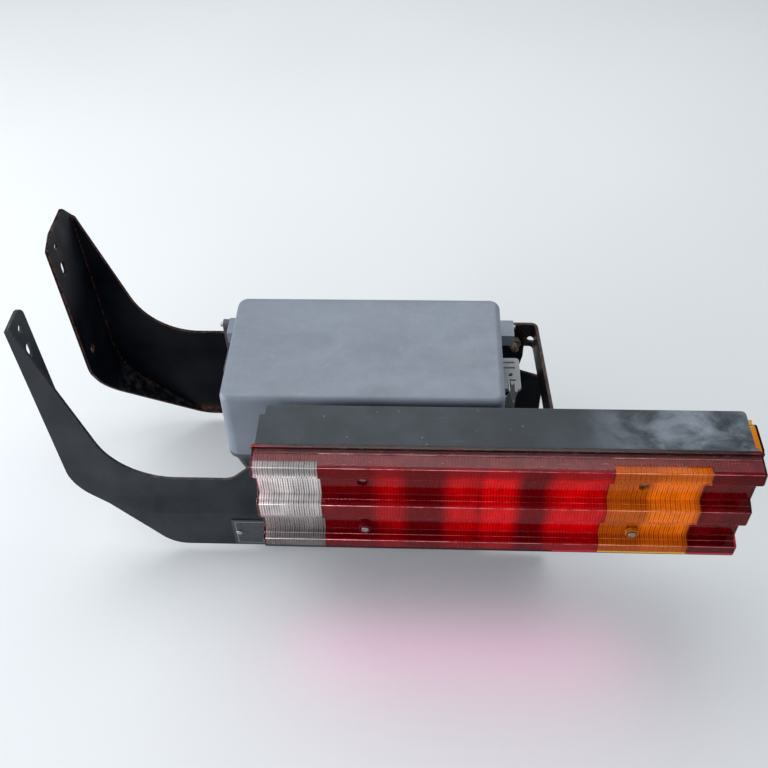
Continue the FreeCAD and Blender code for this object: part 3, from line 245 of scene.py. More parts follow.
def housing_plastic(name):
    """Dark moulded plastic with grain, pale scuffs near the free end and fine specks."""
    look = Look(name, Specular_IOR_Level=0.3)
    low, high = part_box("lamp_housing")
    broad = look.noise(70, 4, 0.6, shift=4)
    colour = look.mix(look.span(broad, 0.3, 0.7), rgb(33, 41, 48), rgb(48, 57, 65))
    cloud = look.noise(52, 7, 0.62, stretch=(1.0, 1.3, 1.0), twist=0.4, shift=7.3)
    worn = look.span(look.axis("X"), low.x + 0.6 * (high.x - low.x), high.x - 0.06)
    scuff = look.maths("MULTIPLY", look.span(cloud, 0.36, 0.68), worn)
    streak = look.span(look.noise(9, 6, 0.7, stretch=(0.35, 1.6, 1), shift=2.2), 0.6, 0.76)
    scuff = look.maths("MAXIMUM", scuff, look.maths("MULTIPLY", streak, look.span(worn, 0.0, 1.0, 0.1, 0.55)))
    colour = look.mix(look.maths("MULTIPLY", scuff, 0.7), colour, rgb(142, 152, 164))
    speck = look.span(look.cells(9), 0.09, 0.045)
    chosen = look.span(look.noise(30, 2, shift=1), 0.5, 0.6)
    speck = look.maths("MULTIPLY", look.maths("MULTIPLY", speck, chosen), 0.7)
    colour = look.mix(speck, colour, rgb(170, 174, 176))
    colour = look.mix(look.maths("MULTIPLY", look.edges(1.4), 0.3), colour, rgb(112, 120, 128))
    look.give("Base Color", colour)
    look.give("Roughness", look.span(scuff, 0.0, 1.0, 0.44, 0.6))
    grain = look.bump(look.noise(0.9, 2), 0.06, 0.6)
    look.give("Normal", look.bump(look.noise(120, 2), 0.6, 0.35, after=grain))
    return look.material


def box_plastic(name, dark, light, roughness=0.42):
    """Satin moulded plastic with faint flow marks, dust and handling scratches."""
    look = Look(name, Specular_IOR_Level=0.5)
    flow = look.noise(55, 4, 0.6, stretch=(0.5, 1.0, 1.0), twist=0.5)
    colour = look.mix(look.span(flow, 0.3, 0.72), dark, light)
    pale = scaled(light, 1.45, 0.01)
    colour = look.mix(look.maths("MULTIPLY", look.edges(1.8), 0.55), colour, pale)
    scratch = look.span(look.noise(2.2, 4, 0.6, stretch=(0.06, 1, 1), shift=4), 0.68, 0.76)
    patch = look.span(look.noise(40, 3, shift=6), 0.5, 0.62)
    scratch = look.maths("MULTIPLY", scratch, patch)
    colour = look.mix(look.maths("MULTIPLY", scratch, 0.25), colour, pale)
    dust = look.maths("MULTIPLY", look.upward(), look.span(look.noise(5, 7, 0.75, shift=2), 0.5, 0.72))
    colour = look.mix(look.maths("MULTIPLY", dust, 0.14), colour, rgb(178, 178, 174))
    look.give("Base Color", colour)
    look.give("Roughness", look.span(look.noise(18, 4), 0.3, 0.7, roughness - 0.05, roughness + 0.1))
    grain = look.bump(look.noise(1.1, 3), 0.05, 0.5)
    look.give("Normal", look.bump(look.noise(90, 2, shift=3), 0.8, 0.35, after=grain))
    return look.material


def simple_plastic(name, dark, light, roughness=0.5):
    look = Look(name)
    look.give("Base Color", look.clouds(look.noise(12, 4), dark, light))
    look.give("Roughness", look.span(look.noise(4, 3), 0.3, 0.7, roughness - 0.06, roughness + 0.1))
    look.give("Normal", look.bump(look.noise(0.8, 3), 0.05, 0.6))
    return look.material


def lens_plastic(name, tint, index=1.22, dull=0.0):
    """Transparent acrylic, with fine scratches in its gloss and a pale haze that grows where it is dull: a
    faint haze of dust on most colours, and on the top band a painted reflection of the sky.
    """
    look = Look(name, Transmission_Weight=1.0, IOR=index)
    haze_and_sheen = look.span(look.noise(24, 6, 0.66), 0.4, 0.75)
    look.give("Base Color", look.mix(look.maths("MULTIPLY", haze_and_sheen, 0.03 + dull), tint, rgb(236, 196, 198)))
    scratch = look.span(look.noise(1.5, 4, 0.6, stretch=(0.05, 1, 1)), 0.6, 0.8)
    rough = 0.03 + dull
    look.give("Roughness", look.span(scratch, 0.0, 1.0, rough, rough + 0.12))
    look.give("Normal", look.bump(look.noise(22, 2), 0.15, 0.4))
    return look.material


def lens_optics(colour, deep, bright, windows, contrast, bars=None, fall=0.0, soft=0.007):
    """Fluted inner face of one lens colour, with a painted reflection of the reflectors behind it as brighter
    stretches, and painted shade in its flute grooves.
    """
    look = Look(f"{colour}_optics", Specular_IOR_Level=0.1)
    along = look.axis("X")
    # Painted reflection: colour brightened where a reflector stands behind the sheet, in place of the light
    # the reflector sends back.
    painted_reflection = 0.0
    for start, end, strength in windows:
        part = look.maths("MULTIPLY", look.window(along, start, end, soft), strength)
        painted_reflection = part if painted_reflection == 0.0 else look.maths("MAXIMUM", painted_reflection, part)
    low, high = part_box("lens_red")
    up = look.axis("Z")
    # The painted reflection fades near the lens's top and bottom edges and, by fall, grows darker towards the
    # bottom.
    middle = look.window(up, low.z + 0.022, high.z - 0.020, 0.008)
    painted_reflection = look.maths("MULTIPLY", painted_reflection, look.span(middle, 0.0, 1.0, 0.3, 1.0))
    painted_reflection = look.maths("MULTIPLY", painted_reflection, look.span(up, low.z + 0.02, high.z - 0.03, 1.0 - fall, 1.0))
    ripple = look.span(look.noise(20, 4, 0.6, stretch=(1, 1, 0.6), shift=3), 0.25, 0.75, 0.7, 1.15)
    painted_reflection = look.maths("MULTIPLY", painted_reflection, ripple)
    shown = look.mix(painted_reflection, deep, bright)
    # Painted shade in the flute grooves: stripes darkened towards shade at the flute pitch, at the cross rib
    # pitch and, with bars, at twice the flute pitch.
    shade = scaled(deep, 0.3)
    patchy = look.span(look.noise(30, 3, shift=14), 0.3, 0.65, 0.3, 1.0)
    start, pitch, _ = flute_rhythm(colour)
    from_start = look.maths("SUBTRACT", along, start)
    combs = [(from_start, pitch, contrast, 0.3), (up, CROSS_PITCH * MM, contrast * 0.45, 0.24)]
    if bars:
        combs.append((from_start, pitch * 2, bars, 0.16))
    for position, step, depth, width in combs:
        wave = look.maths("PINGPONG", position, step / 2)
        gap = look.span(wave, step * 0.05, step * width, depth, 0.0)
        shown = look.mix(look.maths("MULTIPLY", gap, patchy), shown, shade)
    look.give("Base Color", shown)
    look.give("Roughness", look.span(look.noise(5, 3), 0.3, 0.7, 0.24, 0.4))
    return look.material


def highlight_line_plastic(name, dull, bright):
    """Pale ridge line of the lens, a painted highlight standing in for the gloss on the ridge's rounded
    corner, in patches of a duller and a brighter tone.
    """
    look = Look(name, Specular_IOR_Level=0.8)
    look.give("Base Color", look.mix(look.span(look.noise(26, 4, 0.65), 0.35, 0.62), dull, bright))
    look.give("Roughness", look.span(look.noise(4, 3), 0.3, 0.7, 0.12, 0.3))
    return look.material


def mirror_film(name):
    """Vacuum metallised plastic."""
    look = Look(name, Metallic=1.0)
    look.give("Base Color", look.clouds(look.noise(20, 4), rgb(205, 206, 210), rgb(226, 227, 230)))
    look.give("Roughness", look.span(look.noise(6, 3), 0.3, 0.7, 0.06, 0.18))
    return look.material


def rubber(name):
    look = Look(name)
    look.give("Base Color", look.clouds(look.noise(6, 5), rgb(24, 24, 25), rgb(42, 42, 43)))
    look.give("Roughness", look.span(look.noise(3, 3), 0.3, 0.7, 0.7, 0.9))
    look.give("Normal", look.bump(look.noise(0.7, 4), 0.08))
    return look.material


def brass(name):
    look = Look(name, Metallic=1.0)
    look.give("Base Color", look.clouds(look.noise(4, 5), rgb(150, 118, 62), rgb(205, 172, 104)))
    look.give("Roughness", look.span(look.noise(2, 4), 0.3, 0.7, 0.25, 0.5))
    return look.material


def glass(name):
    """Clear bulb glass."""
    look = Look(name, Transmission_Weight=1.0, IOR=1.5)
    look.give("Base Color", look.clouds(look.noise(8, 2), rgb(240, 244, 246), rgb(250, 250, 250)))
    look.give("Roughness", look.span(look.noise(5, 3), 0.3, 0.7, 0.01, 0.05))
    return look.material


def film(name):
    """Blank printed film: dark navy with a thin pale frame line and no lettering."""
    look = Look(name, Coat_Weight=0.4, Coat_Roughness=0.2)
    low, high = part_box("blank_plate")
    along, up = look.axis("X"), look.axis("Z")
    frames = []
    for inset in (0.004, 0.005):
        across = look.window(along, low.x + inset, high.x - inset, 0.0002)
        upright = look.window(up, low.z + inset, high.z - inset, 0.0002)
        frames.append(look.maths("MULTIPLY", across, upright))
    line = look.maths("SUBTRACT", *frames)
    field = look.mix(look.span(look.noise(15, 5), 0.35, 0.7), rgb(24, 29, 38), rgb(36, 42, 52))
    look.give("Base Color", look.mix(line, field, rgb(120, 126, 134)))
    look.give("Roughness", look.span(look.noise(6, 4), 0.3, 0.7, 0.3, 0.5))
    return look.material


def floor_paint(name):
    look = Look(name, Specular_IOR_Level=0.25)
    look.give("Base Color", look.clouds(look.noise(900, 2, shift=2), rgb(214, 218, 221), rgb(219, 222, 225)))
    look.give("Roughness", look.span(look.noise(300, 2), 0.3, 0.7, 0.55, 0.7))
    look.give("Normal", look.bump(look.noise(3, 3), 0.02, 0.3))
    return look.material


# ------------------------------------------------------------------------ mesh helpers


def finish_piece(name, mesh, material, replaced=(), body="base"):
    """Object for a new mesh that rides on a body and stands for CAD nodes."""
    piece = bpy.data.objects.new(name, mesh)
    bpy.context.scene.collection.objects.link(piece)
    mesh.materials.clear()
    mesh.materials.append(material)
    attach(piece, body)
    if replaced:
        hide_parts(*replaced)
    return piece


def round_edges(piece, width, angle=32):
    """Rounded sharp edges and shading that keeps flat faces flat."""
    for polygon in piece.data.polygons:
        polygon.use_smooth = True
    bevel = piece.modifiers.new("rounding", "BEVEL")
    bevel.width = width * MM
    bevel.segments = 2
    bevel.limit_method = "ANGLE"
    bevel.angle_limit = math.radians(angle)
    bevel.use_clamp_overlap = True
    weighted = piece.modifiers.new("flatness", "WEIGHTED_NORMAL")
    weighted.keep_sharp = True
    weighted.weight = 90
    return piece


RECORD_BODIES = frame["record"]["behaviour"]["bodies"]
BODY_OF = {node: body for body, nodes in RECORD_BODIES.items() for node in nodes}


def soften(node, width, material):
    """Copy of a CAD node with its facets merged and its sharp edges rounded, in place of the node."""
    source = frame["nodes"][node]
    mesh = source.data.copy()
    work = bmesh.new()
    work.from_mesh(mesh)
    bmesh.ops.remove_doubles(work, verts=work.verts, dist=2e-6)
    bmesh.ops.dissolve_limit(work, angle_limit=math.radians(0.6), verts=work.verts, edges=work.edges)
    bmesh.ops.recalc_face_normals(work, faces=work.faces)
    work.to_mesh(mesh)
    work.free()
    piece = finish_piece(node + "_finished", mesh, material, (node,), BODY_OF[node])
    return round_edges(piece, width)


def corner_arcs(points, steps=6):
    """Open path with its (u, v, radius) corners rounded into short steps."""
    path = [Vector(points[0][:2])]
    for before, here, after in zip(points, points[1:], points[2:]):
        corner = Vector(here[:2])
        radius = here[2] if len(here) > 2 else 0
        if not radius:
            path.append(corner)
            continue
        back = (Vector(before[:2]) - corner).normalized()
        forth = (Vector(after[:2]) - corner).normalized()
        half = back.angle(forth) / 2
        reach = radius / math.tan(half)
        centre = corner + (back + forth).normalized() * (radius / math.sin(half))
        start, end = corner + back * reach - centre, corner + forth * reach - centre
        turn = start.angle_signed(end)
        for step in range(steps + 1):
            path.append(centre + Matrix.Rotation(-turn * step / steps, 2) @ start)
    path.append(Vector(points[-1][:2]))
    return path


def sideways(points, distance):
    """Path of corners moved sideways, to the left of its direction."""
    lines = []
    for first, second in zip(points, points[1:]):
        start = Vector(first[:2])
        along = (Vector(second[:2]) - start).normalized()
        lines.append((start + Vector((-along.y, along.x)) * distance, along))
    moved = [lines[0][0]]
    for (start, along), (other, turn) in zip(lines, lines[1:]):
        cross = along.x * turn.y - along.y * turn.x
        gap = other - start
        moved.append(start + along * ((gap.x * turn.y - gap.y * turn.x) / cross))
    start, along = lines[-1]
    moved.append(start + along * (Vector(points[-1][:2]) - start).dot(along))
    return [(point.x, point.y, *source[2:]) for point, source in zip(moved, points)]


def evenly(path, step):
    """Points along a path no further apart than step."""
    dense = [path[0]]
    for first, second in zip(path, path[1:]):
        if (second - first).length < 1e-5:
            continue
        count = max(1, math.ceil((second - first).length / step))
        dense += [first.lerp(second, n / count) for n in range(1, count + 1)]
    return dense


def loft(work, sections):
    """Closed solid through (x, section) rings, each section a list of (y, z)."""
    rings = [[work.verts.new((x, y, z)) for y, z in section] for x, section in sections]
    work.faces.new(rings[0])
    work.faces.new(rings[-1][::-1])
    for near, far in zip(rings, rings[1:]):
        for first, second, third, fourth in zip(near, far, far[1:] + far[:1], near[1:] + near[:1]):
            work.faces.new((first, second, third, fourth))


def bar(work, section, start, end):
    """Closed bar of a (y, z) section between two X positions."""
    loft(work, [(start, section), (end, section)])


def to_mesh(work, name):
    bmesh.ops.recalc_face_normals(work, faces=work.faces)
    mesh = bpy.data.meshes.new(name)
    work.to_mesh(mesh)
    work.free()
    return mesh


# --------------------------------------------------------------------------- the lens

LENS_WALL = 3.0
FLANGE = 4.0
SEAM = 0.04
# Where the clear and amber colours, and the red ones, split from the pale top band, as depth of the section.
# The band's pale tint is a painted reflection of the sky.
SPLIT_OUT = 13.0
CROWN_OUT = 20.0
# The fluted sheet: how far behind the outer face, how thick, its finest step, and the pitch of its cross ribs,
# which are only painted shade lines.
SHEET_BEHIND = LENS_WALL + 0.5
SHEET_THICK = 0.8
SHEET_STEP = 0.0026
CROSS_PITCH = 2.9
FLUTE_DEPTH = 0.6
CLEAR_FLUTE_DEPTH = 0.9
# Lens screws and their cups: radii, wall, floor, and (seat, rim) as how far they stand out of the flange.
SCREW_HEAD = 4.5
SCREW_HOLE = 3.0
WELL = 6.0
WELL_WALL = 1.5
WELL_FLOOR = 2.5
WELL_GAP = 0.7
LOW_WELL = (14.0, 17.0)
HIGH_WELL = (3.5, 11.0)
# How far the lens face stands out of its flange, how far below the top edge, and the corner radius.
LENS_PROFILE = [
    (0, 3.5), (1.6, 3.6, 0.5), (1.6, 4.6, 0.5), (4.2, 4.8, 0.5), (4.2, 3.9, 0.4), (5.4, 4.0, 0.4),
    (5.4, 4.9, 0.5), (24, 5.5, 2.2), (26, 22, 3), (12, 34, 8), (12, 66, 2), (26, 71, 1.6), (26, 95.5, 3),
    (12, 108, 8), (12, 135, 2), (26, 139.5, 1.6), (26, 156.5, 2), (22, 158.5, 1.5), (0, 158.5),
]
# Pale lines along the ridges, painted highlights on their rounded corners: how far out, how far below the top
# edge, and half width.
HIGHLIGHT_LINE_PLACES = [
    (4.9, 4.0, 0.2), (23.6, 6.0, 0.25), (18.5, 68.3, 0.15), (25.5, 71.4, 0.45), (18.5, 137.1, 0.15),
    (25.5, 139.9, 0.4),
]
PLAIN_PROFILE = [LENS_PROFILE[0]] + LENS_PROFILE[7:]

clear_low, clear_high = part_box("lens_clear")
red_low, red_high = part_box("lens_red")
amber_low, amber_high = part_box("lens_amber")
fog_low, fog_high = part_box("lens_fog")
FLANGE_FACE = red_high.y - FLANGE * MM
LENS_FRONT = red_low.y
LENS_TOP = red_high.z
LENS_BOTTOM = red_low.z
LENS_MIDDLE = (clear_low.x + fog_high.x) / 2
END_WALL = LENS_WALL * MM
GAP = SEAM * MM
# Where the flutes of each colour start and end, and their pitch in millimetres.
FLUTES = {
    "clear": (clear_low.x + END_WALL, clear_high.x, 2.8),
    "red": (red_low.x, red_high.x, 3.4),
    "amber": (amber_low.x, amber_high.x, 2.7),
    "fog": (fog_low.x, fog_high.x - END_WALL, 3.4),
}


def flute_rhythm(colour):
    """Start, exact pitch and number of one colour's flutes."""
    start, end, pitch = FLUTES[colour]
    count = round((end - start) / (pitch * MM))
    return start, (end - start) / count, count


def lens_section(profile, depth=0.0, hollow=True):
    """Section path in metres from the flange's top edge down, moved inwards by depth."""
    face, top = FLANGE_FACE / MM, LENS_TOP / MM
    corners = [(face - point[0], top - point[1], *point[2:]) for point in profile]
    if depth:
        corners = sideways(corners, depth)
    if depth and hollow:
        back = red_high.y / MM
        corners[0] = (back, corners[1][1] + 0.1)
        corners[-1] = (back, LENS_BOTTOM / MM + 3 + depth)
    return [point * MM for point in corner_arcs(corners)]


def cut_path(path, outwards):
    """The path before and after the point where it first stands that far out of the flange face."""
    edge = FLANGE_FACE - outwards * MM
    for index, (first, second) in enumerate(zip(path, path[1:])):
        if first.x > edge >= second.x:
            share = (first.x - edge) / (first.x - second.x)
            meeting = first.lerp(second, share)
            return path[:index + 1] + [meeting], [meeting] + path[index + 1:]
    raise ValueError("the path never stands that far out")


FLANGE_HEAD = [Vector((red_high.y, LENS_TOP)), Vector((FLANGE_FACE, LENS_TOP))]
FLANGE_FOOT = [Vector((FLANGE_FACE, LENS_BOTTOM)), Vector((red_high.y, LENS_BOTTOM))]


def lens_paths():
    """Outer and inner section paths on both sides of the two split lines in the top facet."""
    outer = lens_section(LENS_PROFILE)
    inner = lens_section(PLAIN_PROFILE, LENS_WALL)
    paths = {}
    for split in (SPLIT_OUT, CROWN_OUT):
        outer_rear, outer_rest = cut_path(outer, split)
        inner_rear, inner_rest = cut_path(inner, split - 0.01)
        paths["rear", split] = (FLANGE_HEAD + outer_rear, inner_rear)
        paths["rest", split] = (outer_rest + FLANGE_FOOT, inner_rest)
    return paths


def rounded_plug(work, tip, root):
    """Solid end wall whose outline shrinks towards the tip in a quarter round."""
    steps = 4
    radius = abs(root - tip)
    rings = []
    for step in range(steps + 1):
        angle = math.pi / 2 * step / steps
        shrink = radius * (1 - math.sin(angle))
        x = tip + (root - tip) * (1 - math.cos(angle))
        outline = lens_section(PLAIN_PROFILE, max(shrink / MM, 0.001), False)
        rings.append((x, FLANGE_HEAD + outline + FLANGE_FOOT))
    loft(work, rings)


def lens_screw_places():
    """Screw axes as (x, z), read from the boxes of the four screws taken together."""
    low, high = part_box("lens_screws")
    radius = SCREW_HEAD * MM
    return [(x, z) for x in (low.x + radius, high.x - radius) for z in (low.z + radius, high.z - radius)]


def drill(piece):
    """Round holes for the cups of the lens screws."""
    radius = WELL * MM
    work = bmesh.new()
    for x, z in SCREWS:
        placed = Matrix.Translation((x, FLANGE_FACE, z)) @ Matrix.Rotation(math.pi / 2, 4, "X")
        bmesh.ops.create_cone(
            work, cap_ends=True, segments=40, radius1=radius, radius2=radius, depth=0.1, matrix=placed
        )
    mesh = bpy.data.meshes.new("drill")
    work.to_mesh(mesh)
    work.free()
    tool = bpy.data.objects.new("drill", mesh)
    bpy.context.scene.collection.objects.link(tool)
    hole = piece.modifiers.new("screw_holes", "BOOLEAN")
    hole.operation = "DIFFERENCE"
    hole.solver = "EXACT"
    hole.object = tool
    settle_modifiers(piece)
    bpy.data.objects.remove(tool)


def settle_modifiers(piece):
    """Apply the piece's modifiers to its mesh."""
    bpy.context.view_layer.update()
    graph = bpy.context.evaluated_depsgraph_get()
    mesh = bpy.data.meshes.new_from_object(piece.evaluated_get(graph))
    piece.modifiers.clear()
    piece.data = mesh


def lens_shell(name, parts, material, node=None, drilled=False):
    """Outer wall of one colour, from (which side of a split, the split, start, end) parts."""
    work = bmesh.new()
    for side, split, start, end in parts:
        if side == "plug":
            rounded_plug(work, start, end)
        else:
            outer, inner = LENS_PATHS[side, split]
            bar(work, outer + inner[::-1], start, end)
    piece = finish_piece(name, to_mesh(work, name), material, (node,) if node else ())
    if drilled:
        drill(piece)
    round_edges(piece, 0.3, 40)
    piece.visible_shadow = False
    return piece


def flutes(colour, material, split, rear=False):
    """Thin inner sheet with rounded vertical flutes, which fade out at the section's corners."""
    name = f"lens_flutes_{colour}_rear" if rear else f"lens_flutes_{colour}"
    start, pitch, count = flute_rhythm(colour)
    depth = CLEAR_FLUTE_DEPTH if colour == "clear" else FLUTE_DEPTH
    before, after = cut_path(lens_section(PLAIN_PROFILE, SHEET_BEHIND), split)
    section = evenly(cut_path(before, 1.0)[1] if rear else after[:-1], SHEET_STEP)
    normals = []
    for index, point in enumerate(section):
        before = section[max(0, index - 1)]
        after = section[min(len(section) - 1, index + 1)]
        along = (after - before).normalized()
        normals.append(Vector((along.y, -along.x)))
    fade = []
    for index in range(len(section)):
        near = normals[max(0, index - 1)]
        far = normals[min(len(normals) - 1, index + 1)]
        fade.append(max(0.15, 1.0 - 6.0 * near.angle(far)))
    steps = 6
    work = bmesh.new()
    grid = []
    for column in range(count * steps + 1):
        x = start + pitch * column / steps
        swell = abs(math.sin(math.pi * column / steps))
        line = []
        for point, normal, share in zip(section, normals, fade):
            moved = point + normal * (-depth * MM * share * (1 - swell))
            line.append(work.verts.new((x, moved.x, moved.y)))
        grid.append(line)
    for left, right in zip(grid, grid[1:]):
        for row in range(len(section) - 1):
            work.faces.new((left[row], right[row], right[row + 1], left[row + 1]))
    openings = []
    for face in work.faces:
        middle = face.calc_center_median()
        if any(math.hypot(middle.x - x, middle.z - z) < (WELL + WELL_GAP) * MM for x, z in SCREWS):
            openings.append(face)
    bmesh.ops.delete(work, geom=openings, context="FACES")
    mesh = bpy.data.meshes.new(name)
    work.to_mesh(mesh)
    work.free()
    for polygon in mesh.polygons:
        polygon.use_smooth = True
    piece = finish_piece(name, mesh, material)
    thick = piece.modifiers.new("thickness", "SOLIDIFY")
    thick.thickness = SHEET_THICK * MM
    thick.offset = -1


def screw_well(name, x, z, material):
    """Moulded cup around a lens screw, with a floor under its head."""
    seat, rim = LOW_WELL if z < (LENS_TOP + LENS_BOTTOM) / 2 else HIGH_WELL
    outside = WELL + WELL_WALL
    under = seat - WELL_FLOOR
    outline = [
        (SCREW_HOLE, seat), (WELL, seat), (WELL, rim), (outside, rim), (outside, under), (SCREW_HOLE, under),
    ]
    steps = 40
    work = bmesh.new()
    rings = []
    for radius, out in outline:
        ring = []
        for step in range(steps):
            angle = math.tau * step / steps
            across, up = radius * MM * math.cos(angle), radius * MM * math.sin(angle)
            ring.append(work.verts.new((x + across, FLANGE_FACE - out * MM, z + up)))
        rings.append(ring)
    for first, second in zip(rings, rings[1:] + rings[:1]):
        for step in range(steps):
            after = (step + 1) % steps
            work.faces.new((first[step], first[after], second[after], second[step]))
    round_edges(finish_piece(name, to_mesh(work, name), material), 0.4, 40)


def highlight_line_bars(name, lines, start, end, material):
    """Slim pale bars along the ridges of one colour of the lens, painted highlights on the ridge corners."""
    work = bmesh.new()
    corners = [math.tau * step / 8 for step in range(8)]
    for out, below, half in lines:
        middle = Vector((FLANGE_FACE - out * MM, LENS_TOP - below * MM))
        section = [middle + half * MM * Vector((math.cos(angle), math.sin(angle))) for angle in corners]
        bar(work, section, start, end)
    mesh = to_mesh(work, name)
    for polygon in mesh.polygons:
        polygon.use_smooth = True
    finish_piece(name, mesh, material)


# -------------------------------------------------------------------- materials, named

PAINT = steel_paint("satin_black_paint", rgb(27, 31, 37), 0.42, 0.24, 0.35, 0.1)
REAR_PAINT = steel_paint("gloss_black_paint", rgb(4, 7, 15), 0.3, 0.06, 0.6, 0.35, heel_rust=0.9)
STRAP_PAINT = steel_paint("strap_paint", rgb(22, 24, 30), 0.35, 0.2, 1.4, 0.7)
RUSTY = rusty_metal("rusty_steel")
ZINC = zinc("zinc_plate")
HOUSING = housing_plastic("housing_plastic")
LID = box_plastic("lid_plastic", rgb(112, 121, 134), rgb(122, 131, 145))
TUB = box_plastic("tub_plastic", rgb(60, 64, 69), rgb(78, 82, 87), 0.5)
FITTING = box_plastic("fitting_plastic", rgb(146, 150, 154), rgb(164, 168, 172))
BLACK = simple_plastic("black_plastic", rgb(26, 27, 29), rgb(40, 41, 43))
TERMINAL = simple_plastic("terminal_plastic", rgb(176, 174, 160), rgb(196, 194, 182))
RUBBER = rubber("black_rubber")
BRASS = brass("brass")
GLASS = glass("bulb_glass")
MIRROR = mirror_film("mirror_film")
FILM = film("blank_film")
LENS_PATHS = lens_paths()
SCREWS = lens_screw_places()
LENS_LOOKS = {
    "clear": lens_plastic("clear_acrylic", rgb(250, 246, 244)),
    "red": lens_plastic("red_acrylic", rgb(238, 36, 70)),
    "amber": lens_plastic("amber_acrylic", rgb(255, 190, 60)),
    "fog": lens_plastic("fog_acrylic", rgb(222, 36, 60)),
    # Top band: paler tint and more pale haze, a painted reflection of the sky on its upward facet, with a
    # higher index and more roughness.
    "crown": lens_plastic("sky_sheen_red_acrylic", rgb(196, 70, 84), 1.36, 0.22),
}


def windows_along(low, high, *shares):
    """Stretches of painted reflection from the reflectors, given as shares of a segment's length, each with
    its strength.
    """
    length = high.x - low.x
    return [(low.x + first * length, low.x + second * length, strength) for first, second, strength in shares]


# Where each colour's painted reflection of its reflectors is bright, and how strong it is.
RED_WINDOWS = windows_along(
    red_low, red_high, (0.19, 0.295, 0.5), (0.44, 0.56, 0.7), (0.56, 0.69, 1.0), (0.80, 1.0, 0.9),
    (0.0, 1.0, 0.06),
)
AMBER_WINDOWS = windows_along(amber_low, amber_high, (0.44, 0.97, 1.0), (0.0, 1.0, 0.3))
FOG_WINDOWS = windows_along(fog_low, fog_high, (0.1, 0.5, 0.4), (0.0, 1.0, 0.15))
CLEAR_WINDOWS = windows_along(clear_low, clear_high, (0.0, 1.0, 1.0))
# Each colour's optics: deep colour, colour of the painted reflection, its stretches, flute shade contrast,
# darker bars, and how much darker the painted reflection grows towards the bottom.
OPTICS = {
    "clear": lens_optics("clear", rgb(88, 84, 85), rgb(255, 253, 254), CLEAR_WINDOWS, 0.7, 0.7, 0.78),
    "red": lens_optics("red", rgb(98, 3, 26), rgb(246, 5, 34), RED_WINDOWS, 0.3, soft=0.011),
    "amber": lens_optics("amber", rgb(158, 84, 22), rgb(255, 166, 44), AMBER_WINDOWS, 0.3, 0.6),
    "fog": lens_optics("fog", rgb(84, 3, 16), rgb(176, 8, 30), FOG_WINDOWS, 0.4),
}
CROWN_OPTICS = simple_plastic("crown_optics", rgb(96, 34, 46), rgb(122, 40, 54), 0.5)
# Colours of the pale ridge lines, painted highlights along the ridges.
HIGHLIGHT_LINE_LOOKS = {
    "clear": highlight_line_plastic("clear_highlight_lines", rgb(196, 190, 190), rgb(250, 248, 248)),
    "red": highlight_line_plastic("red_highlight_lines", rgb(170, 34, 52), rgb(238, 150, 160)),
    "amber": highlight_line_plastic("amber_highlight_lines", rgb(208, 104, 52), rgb(246, 176, 132)),
    "fog": highlight_line_plastic("fog_highlight_lines", rgb(120, 26, 40), rgb(220, 120, 130)),
}


def build_lens():
    """Outer shells in four colours, the fluted inner faces and the screw wells."""
    left, right = clear_low.x, fog_high.x
    clear_start = left + END_WALL + GAP
    fog_end = right - END_WALL - GAP
    splits = {"clear": SPLIT_OUT, "red": CROWN_OUT, "amber": SPLIT_OUT, "fog": CROWN_OUT}
    shells = {
        "clear": [("rest", SPLIT_OUT, clear_start, clear_high.x)],
        "amber": [("rest", SPLIT_OUT, amber_low.x, amber_high.x)],
        "red": [("plug", 0, left, left + END_WALL), ("rest", CROWN_OUT, red_low.x + GAP, red_high.x - GAP)],
        "fog": [("rest", CROWN_OUT, fog_low.x + GAP, fog_end), ("plug", 0, right, right - END_WALL)],
    }
    for colour, parts in shells.items():
        drilled = colour in ("red", "amber")
        lens_shell(f"lens_shell_{colour}", parts, LENS_LOOKS[colour], f"lens_{colour}", drilled)
    # Shell of the top band, in the paler acrylic whose tint is a painted reflection of the sky.
    crown_parts = [
        ("rear", SPLIT_OUT, clear_start, clear_high.x - GAP),
        ("rear", CROWN_OUT, red_low.x, red_high.x),
        ("rear", SPLIT_OUT, amber_low.x + GAP, amber_high.x - GAP),
        ("rear", CROWN_OUT, fog_low.x, fog_end),
    ]
    lens_shell("lens_shell_crown", crown_parts, LENS_LOOKS["crown"])
    for colour, split in splits.items():
        flutes(colour, OPTICS[colour], split)
        flutes(colour, CROWN_OPTICS, split, rear=True)
    for number, (x, z) in enumerate(SCREWS, start=1):
        colour = "red" if x < LENS_MIDDLE else "amber"
        screw_well(f"lens_screw_well_{number}", x, z, OPTICS[colour])
    stretches = {
        "clear": (clear_start, clear_high.x),
        "red": (red_low.x, red_high.x),
        "amber": (amber_low.x, amber_high.x),
        "fog": (fog_low.x, right - END_WALL),
    }
    # Pale bars along the ridges, painted highlights.
    for colour, (start, end) in stretches.items():
        lines = HIGHLIGHT_LINE_PLACES[1:] if colour == "clear" else HIGHLIGHT_LINE_PLACES
        highlight_line_bars(f"lens_highlight_lines_{colour}", lines, start, end, HIGHLIGHT_LINE_LOOKS[colour])


# ------------------------------------------------------------------- everything else

